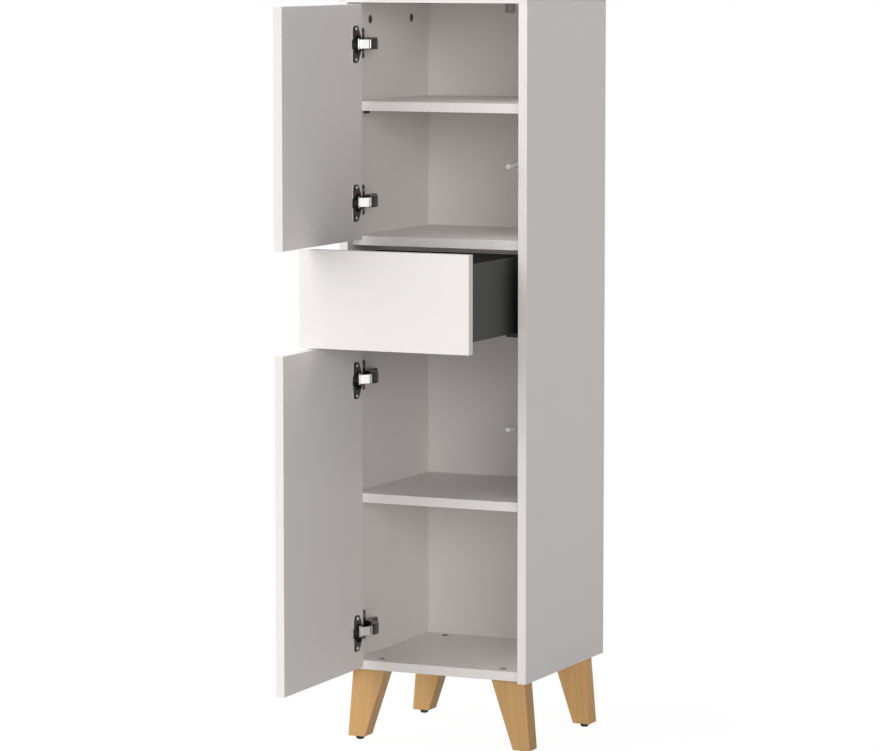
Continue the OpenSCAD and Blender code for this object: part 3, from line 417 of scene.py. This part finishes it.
# %% [markdown]
# ## The back panel
#
# A thin hardboard is printed white on its good side and left brown on its
# rear, where nobody looks. Two thin boards could show this, but it is one
# board, so its rear faces take a second material by their direction. The hole
# for the wall screw is punched, but its slug stays in until the screw is
# driven, since no light shows through the slot of the bracket in the picture.
# The slug is a little wider than the hole, as a pressed-in disc is.

# %% Back panel
SLUG_RADIUS, SLUG_INSET = 0.0036, 0.0004
FACING = 0.5
work = merged("back_panel")
low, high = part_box("back_panel")
slug_at = Vector(next(m["pos_m"] for m in record["mounts"] if m["name"] == "wall_screw_slot"))
slug_at.y = (low[1] + high[1]) / 2
bmesh.ops.create_cone(work, cap_ends=True, segments=32, radius1=SLUG_RADIUS, radius2=SLUG_RADIUS,
                      depth=high[1] - low[1] - 2 * SLUG_INSET,
                      matrix=Matrix.Translation(slug_at) @ Matrix.Rotation(math.pi / 2, 4, "X"))
for face in work.faces:
    face.material_index = 1 if face.normal.y > FACING else 0
print("rear faces of the back panel:", sum(face.material_index for face in work.faces))
piece(work, "back_panel_hardboard", "back_panel", ("coated_board", "raw_hardboard"))

# %% [markdown]
# ## Legs
#
# The legs are sawn, sanded and lacquered. Sanding leaves a larger radius than
# on the boards. The same bevel makes it, three times as wide and with one more
# segment, because it is wide enough to be seen as round.

# %% Legs
LEG_EDGE = 0.0018
for name in LEG_PAINTED_LIGHT:
    work = merged(name)
    count = rounded(work, LEG_EDGE, shortest=0.02, smallest=1e-4, segments=3)
    piece(work, name + "_wood", name, name + "_wood")
    print(name, "edges rounded:", count)

# %% [markdown]
# ## Screws, bolts and cams
#
# A screw is turned, and its head is pressed with a cross or a hexagon. Each one
# could be modelled by hand, but all of them differ only in a few sizes, so one
# Geometry Nodes tree makes them all. Its points are measured from the CAD
# solids: where each head sits and which way it faces. Each screw is turned by a
# random angle, as real ones are when they are driven home, with a fixed seed
# so that each run gives the same.

# %% A tree with named inputs
def group(name, sockets):
    """A Geometry Nodes tree that takes places and the named sizes."""
    tree = bpy.data.node_groups.new(name, "GeometryNodeTree")
    tree.interface.new_socket(name="Geometry", in_out="OUTPUT", socket_type="NodeSocketGeometry")
    tree.interface.new_socket(name="Places", in_out="INPUT", socket_type="NodeSocketGeometry")
    for label, kind in sockets.items():
        tree.interface.new_socket(name=label, in_out="INPUT", socket_type="NodeSocket" + kind)
    return tree, tree.nodes.new("NodeGroupInput").outputs


# %% Shapes inside a tree
def cylinder(tree, sides, radius, depth, rings=1):
    """A closed cylinder round the origin."""
    return add(tree, "GeometryNodeMeshCylinder", {
        "Vertices": sides, "Side Segments": rings, "Radius": radius,
        "Depth": depth}).outputs["Mesh"]


def lifted(tree, geometry, height):
    """A geometry moved up."""
    lift = add(tree, "ShaderNodeCombineXYZ", {"Z": height}).outputs[0]
    return add(tree, "GeometryNodeTransform", {
        "Geometry": geometry, "Translation": lift}).outputs[0]


def profiled(tree, mesh, height, width_at):
    """Stands a cylinder on the ground, with a width that depends on the rise from 0 to 1."""
    here = add(tree, "ShaderNodeSeparateXYZ", {
        0: add(tree, "GeometryNodeInputPosition").outputs[0]}).outputs
    rise = calc(tree, "ADD", calc(tree, "DIVIDE", here["Z"], height), 0.5)
    width = width_at(rise)
    place = add(tree, "ShaderNodeCombineXYZ", {
        "X": calc(tree, "MULTIPLY", here["X"], width),
        "Y": calc(tree, "MULTIPLY", here["Y"], width),
        "Z": calc(tree, "MULTIPLY", rise, height)}).outputs[0]
    return add(tree, "GeometryNodeSetPosition", {
        "Geometry": mesh, "Position": place}).outputs[0]


# %% Placing what a tree has made
def planted(tree, given, part, **placing):
    """Ends a tree: the part on each place, as real geometry, with its finish."""
    placed = add(tree, "GeometryNodeInstanceOnPoints", {
        "Points": given["Places"], "Instance": part, **placing}).outputs[0]
    real = add(tree, "GeometryNodeRealizeInstances", {"Geometry": placed}).outputs[0]
    painted = add(tree, "GeometryNodeSetMaterial", {
        "Geometry": real, "Material": given["Finish"]}).outputs[0]
    add(tree, "NodeGroupOutput", {0: painted})


def grown(tree, places, facings, values):
    """Runs a tree on points that face given ways, and returns the plain mesh that it makes."""
    mesh = bpy.data.meshes.new("places")
    mesh.from_pydata(places, [], [])
    facing = mesh.attributes.new("facing", "FLOAT_VECTOR", "POINT")
    for k, way in enumerate(facings):
        facing.data[k].vector = way
    source = bpy.data.objects.new("places", mesh)
    growing = source.modifiers.new("growing", "NODES")
    growing.node_group = tree
    for item in tree.interface.items_tree:
        if item.in_out == "INPUT" and item.name in values:
            growing[item.identifier] = values[item.name]
    return evaluated(source)


# %% The head of a screw
SCREWS, given = group("screws", {
    "Head Diameter": "Float", "Head Height": "Float", "Roundness": "Float",
    "Shank Diameter": "Float", "Shank Length": "Float", "Recess Width": "Float",
    "Recess Depth": "Float", "Hexagon": "Bool", "Seed": "Int", "Finish": "Material"})
HEAD_SIDES, HEAD_RINGS = 32, 4


def head_width(rise):
    """The flank of the head leans inwards along an arc."""
    return calc(SCREWS, "COSINE", calc(SCREWS, "MULTIPLY", rise, given["Roundness"]))


head_height = given["Head Height"]
head_radius = calc(SCREWS, "MULTIPLY", given["Head Diameter"], 0.5)
head = cylinder(SCREWS, HEAD_SIDES, head_radius, head_height, HEAD_RINGS)
head = profiled(SCREWS, head, head_height, head_width)
print("nodes for the head:", len(SCREWS.nodes))

# %% Its recess, a cross or a hexagon
BLADE_SHARE = 0.24
reach = given["Recess Width"]
deep = calc(SCREWS, "MULTIPLY", given["Recess Depth"], 2)
blade = calc(SCREWS, "MULTIPLY", reach, BLADE_SHARE)
hexagon = cylinder(SCREWS, 6, calc(SCREWS, "MULTIPLY", reach, 0.5), deep)
cutters = []
for wide, long in ((reach, blade), (blade, reach)):
    size = add(SCREWS, "ShaderNodeCombineXYZ", {"X": wide, "Y": long, "Z": deep}).outputs[0]
    bar = add(SCREWS, "GeometryNodeMeshCube", {"Size": size}).outputs["Mesh"]
    cutter = add(SCREWS, "GeometryNodeSwitch", {
        "Switch": given["Hexagon"], "False": bar, "True": hexagon}, input_type="GEOMETRY")
    cutters.append(lifted(SCREWS, cutter.outputs[0], head_height))
pressed = add(SCREWS, "GeometryNodeMeshBoolean", {0: head, 1: cutters},
              operation="DIFFERENCE", solver="EXACT").outputs[0]
print("nodes with the recess:", len(SCREWS.nodes))

# %% Its shank
SHANK_SIDES = 16
shank_length = given["Shank Length"]
shank_radius = calc(SCREWS, "MULTIPLY", given["Shank Diameter"], 0.5)
shank = cylinder(SCREWS, SHANK_SIDES, shank_radius, shank_length)
shank = lifted(SCREWS, shank, calc(SCREWS, "MULTIPLY", shank_length, -0.5))
has_shank = add(SCREWS, "FunctionNodeCompare", {0: shank_length, 1: 0.0},
                operation="GREATER_THAN").outputs[0]
shank = add(SCREWS, "GeometryNodeSwitch", {"Switch": has_shank, "True": shank},
            input_type="GEOMETRY").outputs[0]
screw = add(SCREWS, "GeometryNodeJoinGeometry", {0: [pressed, shank]}).outputs[0]
print("nodes with the shank:", len(SCREWS.nodes))

# %% The way it is driven
way = add(SCREWS, "GeometryNodeInputNamedAttribute", {"Name": "facing"},
          data_type="FLOAT_VECTOR").outputs[0]
upright = add(SCREWS, "FunctionNodeAlignRotationToVector", {"Vector": way}, axis="Z").outputs[0]
# Sockets 2 and 3 take the least and the greatest number, and output 1 gives the random one.
turn = add(SCREWS, "FunctionNodeRandomValue", {2: 0.0, 3: math.tau, "Seed": given["Seed"]},
           data_type="FLOAT").outputs[1]
spin = add(SCREWS, "FunctionNodeAxisAngleToRotation", {"Axis": (0, 0, 1), "Angle": turn})
driven = add(SCREWS, "FunctionNodeRotateRotation", {
    "Rotation": upright, "Rotate By": spin.outputs[0]}, rotation_space="LOCAL").outputs[0]
planted(SCREWS, given, screw, Rotation=driven)
print("nodes in the screw tree:", len(SCREWS.nodes))

# %% [markdown]
# ## Measuring the screws
#
# The sizes could be typed in again, but then a change of the construction model
# would leave the screws behind. So each fastener's solid is measured: points
# that edges join are one solid, the wider end is the head, and the lowest of
# the widest points tell where the head seats.

# %% The separate solids of a node
def solids(node):
    """The points of each separate solid of a node, in a steady order."""
    work = bmesh.new()
    work.from_mesh(nodes[node].data)
    bmesh.ops.remove_doubles(work, verts=work.verts, dist=WELD)
    seen, found = set(), []
    for start in work.verts:
        if start in seen:
            continue
        seen.add(start)
        stack, points = [start], []
        while stack:
            vert = stack.pop()
            points.append(vert.co.copy())
            for other in (e.other_vert(vert) for e in vert.link_edges):
                if other not in seen:
                    seen.add(other)
                    stack.append(other)
        found.append(points)
    work.free()
    return sorted(found, key=lambda points: tuple(
        round(c, 4) for c in sum(points, Vector()) / len(points)))


# %% The seat and the sizes of a screw
NEARLY_LEVEL, NEARLY_WIDEST = 1e-5, 1e-4


def measured(points, axis):
    """Where a screw's head seats, the way it faces, and its sizes to a tenth of a millimetre."""
    axis = Vector(axis).normalized()
    along = [p.dot(axis) for p in points]
    low, high = min(along), max(along)

    def ring(level):
        near = [p for p, a in zip(points, along) if abs(a - level) < NEARLY_LEVEL]
        middle = sum(near, Vector()) / len(near)
        return middle, max((p - middle).length for p in near)

    if ring(low)[1] > ring(high)[1]:
        axis, along, low, high = -axis, [-a for a in along], -high, -low
    middle, shank_r = ring(low)
    centre = middle - axis * middle.dot(axis)
    radii = [(p - centre - axis * a).length for p, a in zip(points, along)]
    head_r = max(radii)
    seat = min(a for a, r in zip(along, radii) if r > head_r - NEARLY_WIDEST)
    sizes = [2 * head_r, high - seat, 2 * shank_r, seat - low]
    return centre + axis * seat, axis, tuple(round(v, 4) for v in sizes)


# %% Driving the screws of a node
SCREW_SEED = 3


def drive(node, axis, material, recess=0.56, depth=0.62, hexagon=False, roundness=0.75):
    """Replaces the plain fasteners of a node with turned and pressed ones."""
    kinds = {}
    for points in solids(node):
        seat, way, sizes = measured(points, axis)
        kinds.setdefault(sizes, []).append((seat, way))
    work = bmesh.new()
    for sizes, set_out in sorted(kinds.items()):
        head_d, head_h, shank_d, shank_l = sizes
        work.from_mesh(grown(SCREWS, [seat for seat, _ in set_out], [way for _, way in set_out], {
            "Head Diameter": head_d, "Head Height": head_h, "Roundness": roundness,
            "Shank Diameter": shank_d, "Shank Length": shank_l, "Recess Width": head_d * recess,
            "Recess Depth": head_h * depth, "Hexagon": hexagon, "Seed": SCREW_SEED,
            "Finish": finishes[material]}))
    piece(work, node + "_driven", node, material, smooth=30)
    print(node, "sizes:", {sizes: len(set_out) for sizes, set_out in kinds.items()})


DOOR_OPEN = math.radians(89)
out_of_door = Vector((math.sin(DOOR_OPEN), math.cos(DOOR_OPEN), 0))
drive("hinge_plate_screws", (1, 0, 0), "galvanised")
drive("upper_cup_screws", out_of_door, "satin_nickel")
drive("lower_cup_screws", out_of_door, "satin_nickel")
drive("latch_screws", (1, 0, 0), "zinc")
drive("rail_screws", (1, 0, 0), "zinc")
drive("drawer_screws", (0, 1, 0), "zinc")
drive("back_panel_screws", (0, 1, 0), "zinc")
drive("wall_bracket_screw", (0, 0, 1), "galvanised")
drive("leg_bolts", (0, 0, 1), "aged_zinc", recess=0.50, depth=0.6, hexagon=True, roundness=0.35)

# %% [markdown]
# ## Cams
#
# A cam lock is a die-cast drum that is let into the board flush with its face
# and turned with a screwdriver. It could be cut by hand, but it is only a wide,
# short head without a shank, with a large cross, so the screw tree makes it
# too. Its sharp cast edges are broken by a small bevel.

# %% Cams
CAM_CROSS, CAM_CROSS_DEEP = 0.0078, 0.003
CAM_EDGE, CAM_SHORTEST = 0.0004, 0.0003
CAM_SEED = 5
seats, ways = [], []
for points in solids("cam_locks"):
    low = Vector([min(p[k] for p in points) for k in range(3)])
    high = Vector([max(p[k] for p in points) for k in range(3)])
    size, middle = high - low, (high + low) / 2
    across = min(range(3), key=lambda k: size[k])
    # In the side panels a drum faces the inside, in the other boards it faces down.
    way = Vector((-math.copysign(1, middle.x), 0, 0)) if across == 0 else Vector((0, 0, -1))
    seats.append(middle - way * size[across] / 2)
    ways.append(way)
    cam_d, cam_h = max(size), min(size)
work = bmesh.new()
work.from_mesh(grown(SCREWS, seats, ways, {
    "Head Diameter": cam_d, "Head Height": cam_h, "Roundness": 0.0, "Shank Length": 0.0,
    "Recess Width": CAM_CROSS, "Recess Depth": CAM_CROSS_DEEP, "Hexagon": False,
    "Seed": CAM_SEED, "Finish": finishes["burnished_zinc"]}))
rounded(work, CAM_EDGE, angle=60, shortest=CAM_SHORTEST)
piece(work, "cam_locks_cast", "cam_locks", "burnished_zinc")
print("cams:", len(seats), "diameter:", round(cam_d, 4))

# %% [markdown]
# ## Hinges
#
# The hinge arms, plates and cups are pressed from steel sheet and plated dark.
# A press leaves a small radius on one side of every cut, so all edges are
# rounded a little. The flange of a cup lies on the door, and the side of its
# rim next to the door is painted near white, as a painted highlight of its lit
# edge. It could be a strip of its own, but a cut through the flange's
# thickness lets the same piece have two finishes.

# %% Hinge arms and plates
PRESSED_EDGE, PRESSED_SHORTEST = 0.00025, 0.0006


def pressed_sheet(name):
    """A copy of a node of pressed sheet, with its edges rounded."""
    work = merged(name)
    rounded(work, PRESSED_EDGE, angle=50, shortest=PRESSED_SHORTEST)
    return work


for name in ("hinge_arms", "hinge_mounting_plates"):
    made = piece(pressed_sheet(name), name + "_pressed", name, "dark_nickel")
    print(name, "faces:", len(made.data.polygons))

# %% A cut between two finishes
def corners_of(part):
    """The places of the corners of a vertex, an edge or a face, sorted."""
    verts = [part] if isinstance(part, bmesh.types.BMVert) else part.verts
    return sorted(vert.co[:] for vert in verts)


def steady(work):
    """Sorts a bmesh by place, since some operators leave an order that changes between runs."""
    for parts in (work.verts, work.edges, work.faces):
        for k, part in enumerate(sorted(parts, key=corners_of)):
            part.index = k
        parts.sort()


def cut_through(work, place, way):
    """Cuts all faces along a plane, so that each side can have its own finish."""
    bmesh.ops.bisect_plane(work, geom=[*work.verts, *work.edges, *work.faces],
                           plane_co=place, plane_no=way)
    steady(work)


# %% Hinge cups
HIGHLIGHT_RIM = 0.0013


def hinge_cups(leaf):
    """The cups of a door, dark, with a painted highlight on the rim next to the door."""
    work = pressed_sheet(leaf + "_hinge_cups")
    door_face = max(v.co.dot(out_of_door) for v in nodes[leaf + "_door_panel"].data.vertices)
    cut_through(work, out_of_door * (door_face + HIGHLIGHT_RIM), out_of_door)
    # Upright faces of the rim next to the door get the painted highlight.
    for face in work.faces:
        proud = face.calc_center_median().dot(out_of_door) - door_face
        upright = abs(face.normal.dot(out_of_door)) < FACING
        face.material_index = 1 if 0 < proud < HIGHLIGHT_RIM and upright else 0
    made = piece(work, leaf + "_hinge_cups_pressed", leaf + "_hinge_cups",
                 ("dark_nickel", "painted_highlight_rim"))
    print(leaf, "cups, faces:", len(made.data.polygons))


# %% [markdown]
# ## Hinge links
#
# The cranked links are the brightest metal in the picture. Their eyes, which
# turn in the arm, lie in the arm's shade, so they are painted dark: painted
# shade. The lowest link is painted duller than the others, as it is in the
# picture, for the darker reflection that it gets near the floor: a painted
# reflection. One piece holds the two links of a door, so the finish goes by
# the place of each face.

# %% Hinge links
SHADED_EYE_Y = -0.1630
DULL_REFLECTION_BELOW_Z = 0.3


def hinge_links(leaf):
    """The links of a door, bright, with painted shade on the eyes, and a painted duller reflection
    at the lowest hinge.
    """
    work = pressed_sheet(leaf + "_hinge_links")
    cut_through(work, (0, SHADED_EYE_Y, 0), (0, 1, 0))
    for face in work.faces:
        middle = face.calc_center_median()
        # Faces behind the cut get painted shade, and faces of the lowest link a painted duller
        # reflection.
        face.material_index = 1 if middle.y > SHADED_EYE_Y else 2 if middle.z < DULL_REFLECTION_BELOW_Z else 0
    made = piece(work, leaf + "_hinge_links_pressed", leaf + "_hinge_links",
                 ("bright_nickel", "dark_nickel", "satin_nickel"))
    print(leaf, "links, faces:", len(made.data.polygons))


for leaf in ("upper", "lower"):
    hinge_cups(leaf)
    hinge_links(leaf)

# %% [markdown]
# ## Levelling feet
#
# A foot is a black plastic disc with a grip of small ribs round its rim, on a
# threaded stem. Bump could draw the ribs, but they show in the outline. So a
# second tree sets real ribs out on a circle. Each foot turns on its own thread,
# so each one is its own piece on its own body.

# %% The disc of a foot
FEET, given = group("feet", {
    "Diameter": "Float", "Height": "Float", "Stem Diameter": "Float", "Stem Length": "Float",
    "Ribs": "Int", "Rib Width": "Float", "Finish": "Material"})
DISC_SIDES, DISC_RINGS = 48, 6
TUCK_BELOW, TUCK = 0.36, 1.9


def foot_width(rise):
    """The lower third draws in towards the floor, and the rest stays straight."""
    below = calc(FEET, "MAXIMUM", calc(FEET, "SUBTRACT", TUCK_BELOW, rise), 0.0)
    drawn_in = calc(FEET, "MULTIPLY", calc(FEET, "POWER", below, 2.0), TUCK)
    return calc(FEET, "SUBTRACT", 1.0, drawn_in)


foot_height, rib_width = given["Height"], given["Rib Width"]
rim = calc(FEET, "SUBTRACT", calc(FEET, "MULTIPLY", given["Diameter"], 0.5),
           calc(FEET, "MULTIPLY", rib_width, 0.5))
disc = cylinder(FEET, DISC_SIDES, rim, foot_height, DISC_RINGS)
disc = profiled(FEET, disc, foot_height, foot_width)
print("nodes for the disc:", len(FEET.nodes))

# %% Its ribs
RIB_SHARE, RIB_MIDDLE = 0.5, 0.68
circle = add(FEET, "GeometryNodeMeshCircle", {
    "Vertices": given["Ribs"], "Radius": rim}).outputs["Mesh"]
outwards = add(FEET, "FunctionNodeAlignRotationToVector", {
    "Vector": add(FEET, "GeometryNodeInputPosition").outputs[0]}, axis="X").outputs[0]
rib_size = add(FEET, "ShaderNodeCombineXYZ", {
    "X": rib_width, "Y": rib_width,
    "Z": calc(FEET, "MULTIPLY", foot_height, RIB_SHARE)}).outputs[0]
rib = add(FEET, "GeometryNodeMeshCube", {"Size": rib_size}).outputs["Mesh"]
ribs = add(FEET, "GeometryNodeInstanceOnPoints", {
    "Points": circle, "Instance": rib, "Rotation": outwards}).outputs[0]
ribs = lifted(FEET, ribs, calc(FEET, "MULTIPLY", foot_height, RIB_MIDDLE))
print("nodes with the ribs:", len(FEET.nodes))

# %% Its stem
STEM_SIDES = 24
stem_length = given["Stem Length"]
stem_radius = calc(FEET, "MULTIPLY", given["Stem Diameter"], 0.5)
stem = cylinder(FEET, STEM_SIDES, stem_radius, stem_length)
stem = lifted(FEET, stem, calc(FEET, "ADD", foot_height, calc(FEET, "MULTIPLY", stem_length, 0.5)))
foot = add(FEET, "GeometryNodeJoinGeometry", {0: [disc, ribs, stem]}).outputs[0]
planted(FEET, given, foot)
print("nodes in the foot tree:", len(FEET.nodes))

# %% Feet
FOOT_HEIGHT, STEM_DIAMETER, RIB_COUNT, RIB_WIDTH = 0.007, 0.006, 30, 0.0008
for name in ("front_left_foot", "front_right_foot", "rear_left_foot", "rear_right_foot"):
    low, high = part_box(name)
    place = ((low[0] + high[0]) / 2, (low[1] + high[1]) / 2, low[2])
    work = bmesh.new()
    work.from_mesh(grown(FEET, [place], [(0, 0, 1)], {
        "Diameter": high[0] - low[0], "Height": FOOT_HEIGHT, "Stem Diameter": STEM_DIAMETER,
        "Stem Length": high[2] - low[2] - FOOT_HEIGHT, "Ribs": RIB_COUNT,
        "Rib Width": RIB_WIDTH, "Finish": finishes["black_plastic"]}))
    piece(work, name + "_ribbed", name, "black_plastic")
    print(name, "diameter:", round(high[0] - low[0], 4))

# %% [markdown]
# ## Drawer
#
# The drawer's sides are folded from steel sheet and powder coated, which
# leaves round folds and a fine texture. Its bottom and back are thin boards
# coated in the same dark grey. The runners are plain galvanised sections, and
# the member on the cabinet is black. Their solids have the right sections
# already, so only the folds are rounded, on the sides twice as wide.

# %% Drawer and runners
SIDE_FOLD, RUNNER_FOLD = 0.0005, 0.00025
for name, material in {
    "left_drawer_side": "powder_coat", "right_drawer_side": "powder_coat",
    "drawer_bottom": "dark_board", "drawer_back": "dark_board",
    "drawer_front_brackets": "black_steel",
    "left_cabinet_rail": "black_steel", "right_cabinet_rail": "black_steel",
    "left_middle_rail": "zinc", "right_middle_rail": "zinc",
    "left_drawer_rail": "zinc", "right_drawer_rail": "zinc",
}.items():
    work = merged(name)
    fold = SIDE_FOLD if "side" in name else RUNNER_FOLD
    count = rounded(work, fold, angle=60, shortest=0.002, smallest=1e-6)
    piece(work, name + "_folded", name, material)
    print(name, "edges rounded:", count)

# %% [markdown]
# ## Latches
#
# A push latch holds a door and throws it open when it is pressed. Its plunger
# is a plastic rod with a cap, which has a rounded rim and a small dimple. It
# could be put together from cylinders, but a shape that is the same all round
# its axis is turned from its outline, so the outline is all that is drawn.
# Spinning can turn a shape inside out, so the normals are worked out again.

# %% A turned shape
MM = 0.001
TURNING_STEPS = 40


def turned(outline, tip):
    """A closed shape turned round an axis along Y, from its tip, by (distance, radius) in mm."""
    work = bmesh.new()
    points = [work.verts.new(tip + Vector((radius, distance, 0)) * MM)
              for distance, radius in outline]
    edges = [work.edges.new(pair) for pair in zip(points, points[1:])]
    bmesh.ops.spin(work, geom=points + edges, cent=tip, axis=(0, 1, 0), angle=math.tau,
                   steps=TURNING_STEPS)
    bmesh.ops.remove_doubles(work, verts=work.verts, dist=WELD)
    bmesh.ops.recalc_face_normals(work, faces=work.faces)
    steady(work)
    return work


# %% Latch plungers
ROD_RADIUS, ROD_CHAMFER = 3.5, 0.5
CAP_OUTLINE = [
    (0.3, 0), (0.25, 1.6), (0, 2.0), (0.05, 3.0), (0.3, 3.7), (0.8, 4.15), (1.5, 4.4),
    (4.4, 4.4), (4.85, 4.2), (4.95, ROD_RADIUS)]
for name in ("upper_latch_plunger", "lower_latch_plunger"):
    low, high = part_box(name)
    tip = Vector(((low[0] + high[0]) / 2, low[1], (low[2] + high[2]) / 2))
    length = (high[1] - low[1]) / MM
    rod_end = [(length - ROD_CHAMFER, ROD_RADIUS), (length, ROD_RADIUS - ROD_CHAMFER), (length, 0)]
    piece(turned(CAP_OUTLINE + rod_end, tip), name + "_turned", name, "grey_plastic", smooth=28)
    print(name, "length in mm:", round(length, 1))

# %% [markdown]
# ## Supports, latch bodies and the wall bracket
#
# The latch bodies are moulded, so their edges have a moulding radius. The
# shelf supports are small cast pins with a flat rest. The bracket is cut and
# bent from sheet. Their solids are right, so the bevel of the boards finishes
# them too, each with the radius that its way of making leaves.

# %% Small fittings
for name, (material, width) in {
    "latch_housings": ("grey_plastic", 0.0005),
    "upper_shelf_supports": ("dark_nickel", 0.0004),
    "lower_shelf_supports": ("dark_nickel", 0.0004),
    "wall_bracket": ("dull_sheet", 0.0003),
}.items():
    work = merged(name)
    count = rounded(work, width, angle=60, shortest=0.0004)
    piece(work, name + "_finished", name, material)
    print(name, "edges rounded:", count)

# %% [markdown]
# ## Solids that keep their shape
#
# Dowels, cam bolts, nuts and sockets sit inside the boards, and the hinge pins
# inside the hinges. A piece of their own would not show, so these solids stay
# as they are, and only their material slots get a better finish.

# %% Hidden parts
for name, material in {
    "cam_bolts": "zinc", "wooden_dowels": "turned_beech", "leg_nuts": "zinc",
    "foot_sockets": "zinc", "hinge_arm_pins": "bright_nickel",
    "upper_cup_pins": "bright_nickel", "lower_cup_pins": "bright_nickel",
}.items():
    for slot in nodes[name].material_slots:
        slot.material = finishes[material]
    print(name, "slots:", len(nodes[name].material_slots))

# %% [markdown]
# ## Colour management
#
# The picture is plain and bright, with a white ground. The Standard view keeps
# white as white, where a filmic view would turn it grey.

# %% Colour management
scene.view_settings.view_transform = "Standard"
